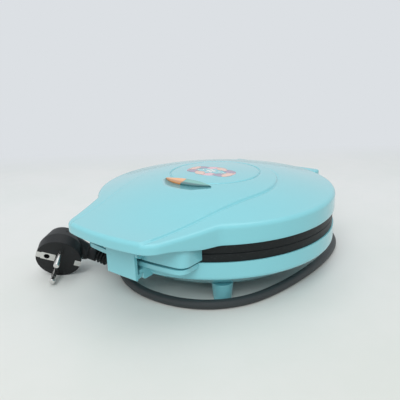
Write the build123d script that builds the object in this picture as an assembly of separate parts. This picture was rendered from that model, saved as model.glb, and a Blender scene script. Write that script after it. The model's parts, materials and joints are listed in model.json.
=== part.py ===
from build123d import *
import math
import os

os.makedirs("parts", exist_ok=True)

# Driving dimensions in millimetres and degrees.
# The plan is drawn about the axis of the round body, with the grip towards -Y.

# Heights, from the floor up
leg_height = 14.0
base_depth = 27.5
base_side_height = 13.5
lower_rim_height = 6.5
upper_rim_height = 7.0
dome_clearance = 1.15765

# Lid housing
lid_radius = 104.8
lid_wall = 2.5
dome_flatness = 3.8073
brim_set_in = 12.8
brim_run = 48.0
rim_fillet = 3.0
grip_run = 33.2
grip_half_width = 43.7
grip_bow = 5.3
grip_side_angle = 22.6
grip_corner_radius = 17.0
grip_root_radius = 14.0
skirt_rise = 4.6
rise_start_set_in = 46.0
rise_end_set_in = 13.0

# Raised pad and moulded ring on the dome
raised_step = 1.0
raised_radius = 62.0
raised_centre_y = -15.0
raised_taper_angle = 13.2
ring_radius = 40.0
ring_groove_width = 1.2
ring_groove_depth = 0.5

# Indicator lenses
lens_half_length = 24.5
lens_centre_y = -39.0
lens_bulge_back = 3.6
lens_bulge_front = 8.0
lens_rise = 1.0
lens_fit = 0.25
lens_flange = 2.0
lens_flange_thickness = 1.2
lens_gap = 0.2

# Base housing
base_set_in = 0.4
base_wall = 2.5
pan_share = 0.78544
pan_shoulder_share = 0.9387
pan_shoulder_drop = 3.0
leg_x_share = 0.61585
leg_y_share = 0.7561
leg_top_radius = 8.7
leg_foot_radius = 7.3
pad_radius = 6.0
pad_thickness = 2.4
pad_proud = 0.6
ledge_half_width = 51.0
ledge_run = 9.1
ledge_bow = 4.3
ledge_corner_radius = 8.0
ledge_thickness = 3.5

# Lid inner frame
frame_half_width = 52.6
frame_drop = 4.5
frame_wall = 2.0
frame_flange = 1.5
frame_fit = 0.3
frame_screw_x = 34.0
frame_screw_run = 13.7
frame_screw_pad = 8.0

# Cooking plates
plate_set_in = 1.6
plate_thickness = 3.0
plate_edge = 0.8
plate_rim_wall = 2.5
plate_step_height = 3.0
plate_fit = 0.3
cavity_share = 0.17927
cavity_wall = 2.5
inner_ring_share = 0.26648
inner_count = 3
outer_ring_share = 0.68799
outer_count = 9
element_ring_share = 0.47966
element_radius = 3.25
element_depth = 13.0
element_gap_angle = 30.0
element_pin_length = 14.4
rib_half_width = 4.0
post_ring_share = 0.5814
post_count = 3
post_radius = 3.5
cup_clearance = 0.99934
reflector_share = 0.81396
thermostat_share = 0.85272
reflector_thickness = 0.8
reflector_lip = 3.0

# Screws
screw_radius = 1.45
screw_hole = 1.55
screw_clearance = 1.8
head_radius = 2.8
head_height = 2.0
head_fit = 0.3
boss_radius = 4.0

# Hinge
hinge_run = 2.2
hinge_drop = 0.1
hinge_pin_radius = 2.0
pin_fit = 0.05
ear_inner_x = 20.0
ear_width = 12.0
ear_radius = 4.2
knuckle_width = 11.6
knuckle_radius = 4.5
ear_gap = 0.4
rear_half_width = 49.6
rear_run = 7.5
lid_block_low_z = 53.3
lid_block_high_z = 67.0
base_block_half_width = 48.0
base_block_low_z = 20.0
base_block_high_z = 41.0
block_fillet = 3.0

# Latch and catch
latch_half_width = 15.0
latch_thickness = 2.5
latch_run = 12.2
latch_pivot_z = 49.0
latch_barrel_radius = 2.8
latch_low_z = 28.1
latch_pin_radius = 1.0
latch_ear_width = 2.7
latch_side_gap = 0.3
nib_height = 3.5
nib_raise = 0.4
nib_reach = 4.5
nose_gap = 0.5
nose_height = 3.0
nose_reach = 4.0
catch_half_width = 14.5
catch_run = 6.2
catch_low_z = 26.5

# Wiring and cord clamp
wire_radius = 0.8
wire_bend = 2.0
wire_way_x = 8.0
wire_way_share = 0.69768
clamp_thickness = 3.0

# Mains cord and plug
cord_radius = 3.7
cord_bore = 3.8
cord_set_in = 14.0
cord_exit_z = 31.0
boot_length = 25.0
boot_root_radius = 6.6
boot_tip_radius = 4.9
boot_collar = 7.3
plug_radius = 19.2
plug_depth = 28.0
plug_back_radius = 13.5
plug_rim_depth = 11.0
plug_neck_radius = 7.0
plug_neck_length = 24.0
plug_relief_radius = 6.0
plug_pin_radius = 2.4
plug_pin_length = 19.0
plug_pin_spacing = 19.0
plug_face = (-85.1, -114.9, 18.7)
plug_neck = (-96.0, -101.7, 24.3)
plug_side_way = (0.642, 0.680, -0.353)
plug_shoulder_width = 15.0
plug_shoulder_depth = 9.5
plug_shoulder_lift = 2.0
plug_earth_hole = 2.5
plug_earth_offset = 10.0
clip_width = 6.0
clip_thickness = 1.2
clip_length = 8.0
clip_lip = 5.4
earth_plate_length = 12.0
earth_plate_width = 7.4
earth_plate_thickness = 0.8

# Plan dimensions that follow the lid's radius
base_radius = lid_radius - base_set_in
plate_radius = lid_radius - plate_set_in
dome_sphere = dome_flatness * lid_radius
brim_start = lid_radius - brim_set_in
brim_end = brim_start + brim_run
grip_reach = lid_radius + grip_run
rise_start = grip_reach - rise_start_set_in
rise_end = grip_reach - rise_end_set_in
hinge_y = lid_radius + hinge_run
rear_reach = lid_radius + rear_run
ledge_reach = base_radius + ledge_run
latch_pivot_y = -lid_radius - latch_run
catch_y = -lid_radius - catch_run
frame_screw_y = -lid_radius - frame_screw_run
pan_radius = pan_share * base_radius
pan_shoulder_radius = pan_shoulder_share * base_radius
leg_x = leg_x_share * pan_radius
leg_y = leg_y_share * pan_radius
cavity_radius = cavity_share * plate_radius
inner_ring = inner_ring_share * plate_radius
outer_ring = outer_ring_share * plate_radius
element_ring = element_ring_share * plate_radius
post_ring = post_ring_share * plate_radius
reflector_radius = reflector_share * plate_radius
thermostat_y = thermostat_share * plate_radius
post_length = cavity_radius + cavity_wall - plate_thickness + cup_clearance
cord_exit_x = cord_set_in - base_block_half_width
wire_way_y = wire_way_share * plate_radius

# Derived heights
base_top_z = leg_height + base_depth
parting_z = base_top_z + lower_rim_height
skirt_low_z = parting_z + upper_rim_height
side_low_z = base_top_z - base_side_height
hinge_z = parting_z - hinge_drop
ledge_low_z = base_top_z - ledge_thickness
frame_low_z = parting_z - frame_drop
flange_low_z = skirt_low_z + skirt_rise + frame_fit
flange_high_z = flange_low_z + frame_flange
floor_z = leg_height + base_wall
plan_shift = (grip_reach - rear_reach) / 2
reflector_height = plate_thickness + post_length + reflector_thickness
reflector_sag = dome_sphere - math.sqrt(dome_sphere ** 2 - reflector_radius ** 2)
dome_top_z = parting_z + reflector_height + dome_clearance + lid_wall + reflector_sag
sky = dome_top_z + 30
STANDING = (Align.CENTER, Align.CENTER, Align.MIN)


def save(shape, node):
    """Moves a piece so that the origin is under the middle of the object, and writes it."""
    export_step(Pos(0, plan_shift, 0) * shape, f"parts/{node}.step")


def rod(radius, low, high, x=0.0, y=0.0):
    """Upright cylinder between two heights."""
    return Pos(x, y, low) * Cylinder(radius, high - low, align=STANDING)


def cross_rod(radius, x_low, x_high, y, z):
    """Cylinder along X between two places."""
    return Pos(x_low, y, z) * Rot(0, 90, 0) * Cylinder(radius, x_high - x_low, align=STANDING)


def block(x_low, x_high, y_low, y_high, z_low, z_high):
    """Box between two corners."""
    middle = ((x_low + x_high) / 2, (y_low + y_high) / 2, (z_low + z_high) / 2)
    return Pos(*middle) * Box(x_high - x_low, y_high - y_low, z_high - z_low)


def prism(face, low, high):
    """A plan face drawn upwards between two heights."""
    return extrude(Pos(0, 0, low) * face, high - low, dir=(0, 0, 1))


def around(count, radius, start_angle):
    """Plan points evenly spaced on a circle."""
    angles = [math.radians(start_angle + 360 * i / count) for i in range(count)]
    return [(radius * math.cos(a), radius * math.sin(a)) for a in angles]


def mirror_sides(shape):
    """A shape and its mirror image on the other side of the middle plane."""
    return shape + mirror(shape, Plane.YZ)


def grip_outline():
    """Plan of the lid: the round body and the flared grip in front of it."""
    corner_y = -(grip_reach - grip_bow)
    side = math.radians(grip_side_angle)
    ahead = grip_half_width * math.sin(side) + corner_y * math.cos(side)
    spare = grip_half_width ** 2 + corner_y ** 2 - lid_radius ** 2
    run = -ahead - math.sqrt(ahead ** 2 - spare) + grip_corner_radius / 2
    root_x = grip_half_width + run * math.sin(side)
    root_y = corner_y + run * math.cos(side)
    front = ThreePointArc((-grip_half_width, corner_y), (0, -grip_reach), (grip_half_width, corner_y))
    sides = Polyline(
        (grip_half_width, corner_y), (root_x, root_y), (-root_x, root_y), (-grip_half_width, corner_y)
    )
    plan = Circle(lid_radius) + make_face(front + sides)
    corners = [v for v in plan.vertices() if v.Y < corner_y + 1]
    plan = fillet(corners, grip_corner_radius)
    roots = [v for v in plan.vertices() if abs(math.hypot(v.X, v.Y) - lid_radius) < 0.01 and v.Y < -rise_start / 2]
    return fillet(roots, grip_root_radius)


def dome_height(radius, lift=0.0):
    """Height of the dome's outer face at a plan radius: a sphere, then a brim that levels out."""
    slope = math.asin(brim_start / dome_sphere)
    brim_sphere = (brim_end - brim_start) / math.sin(slope)
    if radius <= brim_start:
        return dome_top_z + lift - dome_sphere + math.sqrt(dome_sphere ** 2 - radius ** 2)
    brim_low = dome_height(brim_start, lift) - brim_sphere * (1 - math.cos(slope))
    return brim_low + brim_sphere - math.sqrt(brim_sphere ** 2 - (brim_end - radius) ** 2)


def under_dome(lift=0.0):
    """All space under the dome's outer face, as a solid of revolution."""
    def at(radius):
        return (radius, 0, dome_height(radius, lift))

    edge = brim_end + brim_start
    rim = (edge, 0, dome_height(brim_end, lift))
    cap = ThreePointArc(at(0), at(brim_start / 2), at(brim_start))
    brim = ThreePointArc(at(brim_start), at((brim_start + brim_end) / 2), at(brim_end))
    rest = Polyline(at(brim_end), rim, (edge, 0, 0), (0, 0, 0), at(0))
    return revolve(make_face(cap + brim + rest), Axis.Z)


def raised_outline():
    """Plan of the raised field: a round back whose straight sides close in towards the grip's corners."""
    taper = math.radians(raised_taper_angle)
    side_x = raised_radius * math.cos(taper)
    side_y = raised_centre_y - raised_radius * math.sin(taper)
    end_y = -grip_reach - grip_corner_radius
    end_x = side_x - (side_y - end_y) * math.tan(taper)
    back = ThreePointArc((-side_x, side_y), (0, raised_centre_y + raised_radius), (side_x, side_y))
    sides = Polyline((side_x, side_y), (end_x, end_y), (-end_x, end_y), (-side_x, side_y))
    return make_face(back + sides)


def lens_outline():
    """Plan of the two indicator lenses together: a leaf with two pointed ends."""
    left = (-lens_half_length, lens_centre_y)
    right = (lens_half_length, lens_centre_y)
    back = ThreePointArc(left, (0, lens_centre_y + lens_bulge_back), right)
    front = ThreePointArc(left, (0, lens_centre_y - lens_bulge_front), right)
    return make_face(back + front)


def rounded_rim(lift):
    """The lid's outer form up to one level of the dome, with its rim rounded."""
    form = prism(grip_outline(), skirt_low_z, sky) & under_dome(lift)
    rim = [
        e for e in form.edges()
        if e.bounding_box().min.Z > skirt_low_z + rim_fillet
        and math.hypot((e @ 0.5).X, (e @ 0.5).Y) > lid_radius - 1
    ]
    return fillet(rim, rim_fillet)


def front_rise():
    """Space under the grip's lower edge, which climbs towards the front."""
    low = skirt_low_z
    high = skirt_low_z + skirt_rise
    middle = -(rise_start + rise_end) / 2
    climb = Spline(
        (0, -rise_start, low), (0, middle, (low + high) / 2), (0, -rise_end, high),
        tangents=[(0, -1, 0), (0, -1, 0)],
    )
    reach = -grip_reach - 10
    rest = Polyline((0, -rise_end, high), (0, reach, high), (0, reach, low - 5), (0, -rise_start, low - 5))
    side = make_face(climb + rest + Line((0, -rise_start, low - 5), (0, -rise_start, low)))
    return extrude(side, 2 * lid_radius, both=True)


def rear_block(half_width, low, high):
    """Box behind the round body, with its outer corners rounded."""
    form = block(-half_width, half_width, 0, rear_reach, low, high)
    uprights = form.edges().filter_by(Axis.Z).group_by(Axis.Y)[-1]
    return fillet(uprights, block_fillet)


def lid_knuckles():
    """Two arms that carry the lid on its hinge pins."""
    inner = ear_inner_x + ear_width + ear_gap
    outer = inner + knuckle_width
    arm = block(inner, outer, hinge_y - knuckle_radius, hinge_y + knuckle_radius, hinge_z, lid_block_high_z)
    arm += cross_rod(knuckle_radius, inner, outer, hinge_y, hinge_z)
    return mirror_sides(arm)


def lid_housing():
    """Domed cover with its raised pad, lens opening, ring groove, bosses and hinge arms."""
    outer = rounded_rim(0.0) + (rounded_rim(raised_step) & prism(raised_outline(), 0, sky))
    inside = prism(offset(grip_outline(), -lid_wall), 0, sky) & under_dome(-lid_wall)
    shell = outer - inside
    back = rear_block(rear_half_width, lid_block_low_z, lid_block_high_z)
    top = back.edges().group_by(Axis.Z)[-1]
    back = fillet(top.group_by(Axis.Y)[-1], block_fillet / 2)
    back -= block(
        -rear_half_width + lid_wall, rear_half_width - lid_wall,
        -lid_wall, rear_reach - lid_wall, 0, lid_block_high_z - lid_wall,
    )
    back -= rod(lid_radius - lid_wall / 2, 0, sky)
    shell += back
    shell += lid_knuckles() - inside
    bosses = Part() + [rod(boss_radius, upper_reflector_z(), sky, x, y) for x, y in post_places()]
    bosses += [rod(boss_radius, flange_high_z, sky, x, y) for x, y in frame_screw_places()]
    shell += bosses & inside
    holes = Part() + [
        rod(screw_hole, 0, dome_height(post_ring) - lid_wall, x, y) for x, y in post_places()
    ]
    holes += [rod(screw_hole, 0, frame_screw_top(), x, y) for x, y in frame_screw_places()]
    shell -= holes
    shell -= front_rise()
    shell -= prism(offset(lens_outline(), lens_fit), parting_z, sky)
    shell -= cross_rod(hinge_pin_radius + pin_fit, -rear_half_width, rear_half_width, hinge_y, hinge_z) & (
        block(-sky, sky, hinge_y - 10, hinge_y + 10, 0, hinge_z + hinge_pin_radius + pin_fit)
    )
    groove = rod(ring_radius + ring_groove_width / 2, parting_z, sky)
    groove -= rod(ring_radius - ring_groove_width / 2, parting_z, sky)
    return shell - (groove - under_dome(raised_step - ring_groove_depth))


def post_places():
    """Plan points of the posts that hold a cooking plate."""
    return around(post_count, post_ring, 90)


def frame_screw_places():
    """Plan points of the two screws that hold the inner frame."""
    return [(-frame_screw_x, frame_screw_y), (frame_screw_x, frame_screw_y)]


def frame_screw_top():
    """Height at which the inner frame's screws end."""
    return dome_height(math.hypot(*frame_screw_places()[0])) - lid_wall / 2


def upper_reflector_z():
    """Upper face of the upper reflector."""
    return parting_z + reflector_height


def lower_reflector_z():
    """Lower face of the lower reflector."""
    return parting_z - reflector_height


def latch_ears():
    """Two ears on the inner frame that hold the latch's pin."""
    inner = latch_half_width + latch_side_gap
    outer = inner + latch_ear_width
    ear = cross_rod(latch_barrel_radius, inner, outer, latch_pivot_y, latch_pivot_z)
    ear += block(
        inner, outer, latch_pivot_y, -ledge_reach + frame_wall,
        latch_pivot_z - latch_barrel_radius, latch_pivot_z + latch_barrel_radius,
    )
    return mirror_sides(ear)


def ledge_outline(half_width):
    """Plan of the front ledge, which the inner frame's front repeats."""
    corner_y = -(ledge_reach - ledge_bow)
    front = ThreePointArc((-half_width, corner_y), (0, -ledge_reach), (half_width, corner_y))
    sides = Polyline((half_width, corner_y), (half_width, 0), (-half_width, 0), (-half_width, corner_y))
    face = make_face(front + sides)
    corners = [v for v in face.vertices() if v.Y < corner_y + 1]
    return fillet(corners, ledge_corner_radius)


def inner_frame():
    """Liner under the grip: a shallow tray, a flange inside the skirt and the latch's ears."""
    plan = ledge_outline(frame_half_width)
    tray = prism(plan, frame_low_z, flange_high_z)
    tray -= prism(offset(plan, -frame_wall), frame_low_z + frame_wall, flange_high_z)
    behind = rod(plate_radius + frame_fit, 0, flange_high_z)
    back_wall = rod(plate_radius + frame_fit + frame_wall, frame_low_z, flange_high_z) - behind
    tray += back_wall & prism(plan, frame_low_z, flange_high_z)
    tray -= behind
    flange = prism(offset(grip_outline(), -lid_wall - frame_fit), flange_low_z, flange_high_z)
    flange -= rod(plate_radius + frame_fit, 0, sky)
    flange -= block(-sky, sky, -ledge_reach + 3 * ledge_corner_radius, 2 * sky, 0, sky)
    pads = Part() + [rod(frame_screw_pad, 0, sky, x, y) for x, y in frame_screw_places()]
    flange -= prism(offset(plan, -frame_wall), 0, sky) - pads
    frame = tray + flange + latch_ears()
    frame -= Part() + [rod(screw_clearance, 0, sky, x, y) for x, y in frame_screw_places()]
    frame -= Part() + [rod(head_radius + head_fit, 0, flange_low_z, x, y) for x, y in frame_screw_places()]
    reach = latch_half_width + latch_side_gap + latch_ear_width
    return frame - cross_rod(latch_pin_radius + pin_fit, -reach, reach, latch_pivot_y, latch_pivot_z)


def latch():
    """Hanging latch: a barrel on its pin, a flat panel and a nib that hooks under the catch."""
    half = latch_half_width
    front = latch_pivot_y - latch_barrel_radius
    piece = cross_rod(latch_barrel_radius, -half, half, latch_pivot_y, latch_pivot_z)
    panel = block(-half, half, front, front + latch_thickness, latch_low_z, latch_pivot_z)
    panel = fillet(panel.edges().filter_by(Axis.X).group_by(Axis.Z)[0].group_by(Axis.Y)[0], latch_thickness / 2)
    nib_low = latch_low_z + nib_raise
    nib = block(-half + 1, half - 1, front + 1, latch_pivot_y + nib_reach, nib_low, nib_low + nib_height)
    nib = chamfer(nib.edges().filter_by(Axis.X).group_by(Axis.Y)[-1].group_by(Axis.Z)[0], nib_height / 2)
    piece += panel + nib
    return piece - cross_rod(latch_pin_radius + pin_fit, -half, half, latch_pivot_y, latch_pivot_z)


def catch():
    """Fixed catch under the ledge, whose nose the latch's nib hooks under."""
    half = catch_half_width
    nose_low = latch_low_z + nib_raise + nib_height + nose_gap
    body = block(-half, half, catch_y, -base_radius + base_wall, catch_low_z, ledge_low_z)
    body += block(-half, half, catch_y - nose_reach, catch_y, nose_low, nose_low + nose_height)
    body = fillet(body.edges().filter_by(Axis.X).group_by(Axis.Z)[0].group_by(Axis.Y)[0], 1.5)
    return body


def pan_profile(inset):
    """Section of the base bowl, from the middle out and up to the rim."""
    low = leg_height + inset
    return Polyline(
        (0, 0, low), (pan_radius - inset / 2, 0, low),
        (pan_shoulder_radius - inset / 2, 0, side_low_z - pan_shoulder_drop + inset),
        (base_radius - inset, 0, side_low_z + inset), (base_radius - inset, 0, base_top_z),
        (0, 0, base_top_z), close=True,
    )


def pan_solid(inset, corner):
    """The base bowl as a filled solid, with its lower edges rounded."""
    form = revolve(make_face(pan_profile(inset)), Axis.Z)
    rings = [e for e in form.edges() if e.geom_type == GeomType.CIRCLE and e.center().Z < base_top_z - 1]
    return fillet(rings, corner)


def base_ears():
    """Two ears that hold the hinge pins."""
    ear = block(
        ear_inner_x, ear_inner_x + ear_width, hinge_y - ear_radius, hinge_y + ear_radius,
        base_block_high_z - base_wall, hinge_z,
    )
    ear += cross_rod(ear_radius, ear_inner_x, ear_inner_x + ear_width, hinge_y, hinge_z)
    return mirror_sides(ear)


def leg(x, y):
    """Tapered leg, open to the bowl's wall above and recessed for its pad below."""
    low = pad_proud
    cone = Pos(x, y, low) * Cone(leg_foot_radius, leg_top_radius, leg_height + 1 - low, align=STANDING)
    return cone - rod(pad_radius + pin_fit, 0, pad_thickness, x, y)


def leg_places():
    """Plan points of the four legs."""
    return [(x, y) for x in (-leg_x, leg_x) for y in (-leg_y, leg_y)]


def base_block():
    """Hollow block behind the bowl: the hinge stands on it and the cord leaves through it."""
    low = base_block_low_z
    high = base_block_high_z
    form = rear_block(base_block_half_width, low, high)
    hollow = block(
        -base_block_half_width + base_wall, base_block_half_width - base_wall,
        0, rear_reach - base_wall, low + base_wall, high - base_wall,
    )
    return form, hollow


def base_housing():
    """Bowl with its ledge, catch, legs, rear block, hinge ears and bosses."""
    outer = pan_solid(0.0, 3.0)
    inside = pan_solid(base_wall, 1.5) + rod(base_radius - base_wall, base_top_z - 1, sky)
    form, hollow = base_block()
    keep_out = rod(plate_radius, base_block_high_z, sky)
    shell = outer + (form - rod(pan_radius, 0, sky) - keep_out)
    shell += prism(ledge_outline(ledge_half_width), ledge_low_z, base_top_z)
    shell += catch()
    shell -= inside
    shell -= hollow - rod(pan_shoulder_radius, 0, sky)
    bosses = Part() + [rod(boss_radius, 0, lower_reflector_z(), x, y) for x, y in post_places()]
    shell += bosses & outer
    shell += base_ears()
    shell += cord_saddle()
    for x, y in leg_places():
        shell += leg(x, y)
    for x, y in post_places():
        shell -= rod(screw_clearance, 0, sky, x, y)
        shell -= rod(head_radius + head_fit, 0, leg_height + base_wall, x, y)
    for x in clamp_screw_places():
        shell -= rod(screw_hole, base_block_low_z + base_wall, sky, x, clamp_y())
    shell -= cross_rod(hinge_pin_radius + pin_fit, -sky, sky, hinge_y, hinge_z)
    return shell - Pos(cord_exit_x, rear_reach - 3 * base_wall, cord_exit_z) * Rot(-90, 0, 0) * Cylinder(
        boot_root_radius + pin_fit, 6 * base_wall, align=STANDING
    )


def clamp_y():
    """Place of the cord clamp inside the rear block."""
    return rear_reach - base_wall - 6.0


def clamp_screw_places():
    """X places of the two clamp screws, one each side of the cord."""
    reach = cord_radius + boss_radius
    return [cord_exit_x - reach, cord_exit_x + reach]


def cord_saddle():
    """Two posts and a bridge that the cord lies on inside the rear block."""
    low = base_block_low_z + base_wall / 2
    top = cord_exit_z + cord_radius / 2
    saddle = Part() + [rod(boss_radius - 0.5, low, top, x, clamp_y()) for x in clamp_screw_places()]
    saddle += block(
        cord_exit_x - cord_radius, cord_exit_x + cord_radius, clamp_y() - 2.5, clamp_y() + 2.5,
        low, cord_exit_z - cord_bore,
    )
    channel = Pos(cord_exit_x, clamp_y(), cord_exit_z) * Rot(90, 0, 0) * Cylinder(cord_bore, 20)
    return saddle - channel


def cord_clamp():
    """Bar that presses the cord on its saddle."""
    half = cord_radius + 2 * boss_radius - 0.5
    low = cord_exit_z + cord_radius / 2
    high = low + clamp_thickness
    bar = block(cord_exit_x - half, cord_exit_x + half, clamp_y() - 3, clamp_y() + 3, low, high)
    bar -= Pos(cord_exit_x, clamp_y(), cord_exit_z) * Rot(90, 0, 0) * Cylinder(cord_bore, 20)
    for x in clamp_screw_places():
        bar -= rod(screw_clearance, 0, sky, x, clamp_y())
    return bar


def screw(x, y, head_z, tip_z):
    """Round-head screw between its head's seat and its tip."""
    way = 1 if tip_z < head_z else -1
    head = rod(head_radius, min(head_z, head_z + way * head_height), max(head_z, head_z + way * head_height), x, y)
    return head + rod(screw_radius, min(head_z, tip_z), max(head_z, tip_z), x, y)


def cavity_places():
    """Plan points of all cavities of a plate."""
    return around(inner_count, inner_ring, -90) + around(outer_count, outer_ring, -90)


def lower_plate_form():
    """Cast plate with half-ball cavities, a rim, a seat for the element and screw posts."""
    under = parting_z - plate_thickness
    rib_low = parting_z - element_depth
    step = base_radius - base_wall - plate_fit
    bore = step - plate_rim_wall
    form = rod(plate_radius, under, parting_z)
    form = fillet(form.edges().filter_by(GeomType.CIRCLE).sort_by(Axis.Z)[-1], plate_edge)
    form += rod(plate_radius, base_top_z, under) - rod(bore, 0, sky)
    form += rod(step, base_top_z - plate_step_height, base_top_z) - rod(bore, 0, sky)
    rib = rod(element_ring + rib_half_width, rib_low, under) - rod(element_ring - rib_half_width, 0, sky)
    form += rib - Pos(0, 0, rib_low) * Torus(element_ring, element_radius + pin_fit)
    below = block(-sky, sky, -sky, sky, 0, under)
    for x, y in cavity_places():
        form += (Pos(x, y, parting_z) * Sphere(cavity_radius + cavity_wall)) & below
    for x, y in post_places():
        form += rod(post_radius, under - post_length, under, x, y)
    for x, y in cavity_places():
        form -= Pos(x, y, parting_z) * Sphere(cavity_radius)
    return form


def flip(shape):
    """Turns a lower part over the parting plane, so that it serves the lid."""
    return mirror(shape, Plane.XY.offset(parting_z))


def lower_plate():
    """Lower cooking plate, with blind screw holes from below."""
    form = lower_plate_form()
    under = parting_z - plate_thickness
    for x, y in post_places():
        form -= rod(screw_hole, 0, under - 2, x, y)
    return form


def upper_plate():
    """Upper cooking plate, which seats in the skirt and is screwed from its cooking face."""
    form = flip(lower_plate_form())
    over = parting_z + plate_thickness
    old_step = base_radius - base_wall - plate_fit
    step = lid_radius - lid_wall - plate_fit
    bore = old_step - plate_rim_wall
    form -= rod(plate_radius + 1, parting_z + lower_rim_height, sky) - rod(bore, 0, sky)
    form += rod(plate_radius, over, skirt_low_z) - rod(bore, 0, sky)
    form += rod(step, skirt_low_z, skirt_low_z + plate_step_height) - rod(bore, 0, sky)
    for x, y in post_places():
        form -= rod(screw_clearance, 0, sky, x, y)
        form -= rod(head_radius + head_fit, 0, parting_z + head_height + head_fit, x, y)
    return form


def element():
    """Tubular heater: an open ring whose two cold ends turn down to their pins."""
    z = parting_z - element_depth
    section = Plane.XZ * (Pos(element_ring, z) * Circle(element_radius))
    ring = revolve(section, Axis.Z, 360 - element_gap_angle)
    ring = Rot(0, 0, 90 + element_gap_angle / 2) * ring
    pins = Part() + [rod(element_radius / 2, z - element_pin_length, z, x, y) for x, y in element_ends()]
    return ring + pins


def element_ends():
    """Plan points of the element's two ends."""
    half = math.radians(element_gap_angle / 2 + 2)
    x = element_ring * math.sin(half)
    y = element_ring * math.cos(half)
    return [(-x, y), (x, y)]


def reflector():
    """Sheet dish behind a plate, clamped at the posts, with holes for the element's pins."""
    low = lower_reflector_z()
    dish = rod(reflector_radius, low, low + reflector_lip)
    dish -= rod(reflector_radius - reflector_thickness, low + reflector_thickness, sky)
    for x, y in post_places():
        dish -= rod(screw_clearance, 0, sky, x, y)
    for x, y in element_ends():
        dish -= rod(element_radius, 0, sky, x, y)
    for x in (-wire_way_x, wire_way_x):
        dish -= rod(2 * wire_radius, 0, sky, x, wire_way_y)
    return dish


def thermostat():
    """Bimetal disc thermostat under the plate, with its two tabs."""
    top = parting_z - plate_thickness
    can = rod(7.0, top - 7.0, top, 0, thermostat_y) + rod(8.0, top - 1.2, top, 0, thermostat_y)
    tabs = mirror_sides(block(2.5, 5.5, thermostat_y - 0.4, thermostat_y + 0.4, top - 12.0, top - 7.0))
    return can + tabs


def wire(*points):
    """Insulated wire along straight runs with round bends."""
    path = FilletPolyline(*points, radius=wire_bend) if len(points) > 2 else Line(*points)
    plane = Plane(origin=path @ 0, z_dir=path % 0)
    return sweep(plane * Circle(wire_radius), path=path)


def thermostat_wire(side, *rest):
    """Wire from one thermostat tab, down through the reflector's hole and on to its end."""
    tab_z = parting_z - plate_thickness - 12.2
    run_z = tab_z - 1.5 * wire_bend
    way = (side * wire_way_x, wire_way_y)
    return wire((side * 4, thermostat_y, tab_z), (side * 4, thermostat_y, run_z), (*way, run_z), *rest)


def terminal_block():
    """Screw terminal on the bowl's floor."""
    form = block(-18, 18, 22, 34, floor_z, floor_z + 8.0)
    for x in (-12, 0, 12):
        form -= rod(2.0, floor_z + 3.0, sky, x, 28)
    return form


def base_wires():
    """Wires from the terminal to the element's ends, the thermostat and the cord."""
    z = floor_z + 3.0
    start = 34.3
    wires = Part()
    for (x, y), side in zip(element_ends(), (-1, 1)):
        wires += wire((x, y + 1.0, z), (side * 12, start, z))
    wires += thermostat_wire(1, (wire_way_x, wire_way_y, z), (6.5, start, z))
    tail = (cord_exit_x, clamp_y() - 5.1, cord_exit_z)
    turn = clamp_y() - 17.3
    return wires + wire((-6.5, start, z), (-22, turn - 12.5, z), (cord_exit_x + 1, turn, z + 9.5), tail)


def lid_wires():
    """Wires from the lid's thermostat to the two lamps, as seen turned over with the lid."""
    z = lower_reflector_z() - 2.0
    wires = Part()
    for side in (-1, 1):
        wires += thermostat_wire(side, (side * wire_way_x, wire_way_y, z), (side * 11, -30, z))
    return wires


def lens_form():
    """Both lenses as one: a leaf that fills the opening and a flange below the dome."""
    plug = prism(lens_outline(), parting_z, sky) & (under_dome(raised_step + lens_rise) - under_dome(-lid_wall))
    flange_top = -lid_wall - pin_fit
    flange = prism(offset(lens_outline(), lens_flange), parting_z, sky)
    flange &= under_dome(flange_top) - under_dome(flange_top - lens_flange_thickness)
    link = prism(lens_outline(), parting_z, sky) & (under_dome(-lid_wall + 0.1) - under_dome(flange_top - 0.1))
    return plug + flange + link


def lens_half(side):
    """One lens, cut at the slanting joint between the two colours."""
    joint = Plane(origin=(-2.5, lens_centre_y - 2.0, 0), x_dir=(0, 0, 1), z_dir=(1, 0.17, 0))
    away = lens_half_length * 2
    cutter = extrude(joint.offset(side * lens_gap / 2) * Rectangle(4 * sky, 4 * sky), side * away)
    return lens_form() & cutter


def lamp_holder():
    """Bracket that hangs from the dome and holds the two neon lamps under their lenses."""
    low = upper_reflector_z() + 1.2
    y = lens_centre_y - 2.0
    bar = block(-32.8, 32.8, y - 8, y + 8, low, low + 1.2)
    for x in (-30.2, 30.2):
        bar += rod(2.5, low, sky, x, y) & under_dome(-lid_wall)
    for x in (-20, -7, 3, 16):
        bar += block(x - 0.6, x + 0.6, y - 3, y + 3, low, low + 3.4)
    for x in (-13.5, 9.5):
        bar -= cross_rod(1.6, x - 9, x + 9, y, low + 3.2)
    return bar


def lamp(x):
    """Small glass neon tube lying in the lamp holder."""
    z = upper_reflector_z() + 1.2 + 3.2
    tube = cross_rod(1.5, x - 8, x + 8, lens_centre_y - 2.0, z)
    return fillet(tube.edges().filter_by(GeomType.CIRCLE), 1.0)


def plug_neck_start():
    """Point on the plug's axis where its neck begins."""
    return Vector(*plug_neck)


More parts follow.
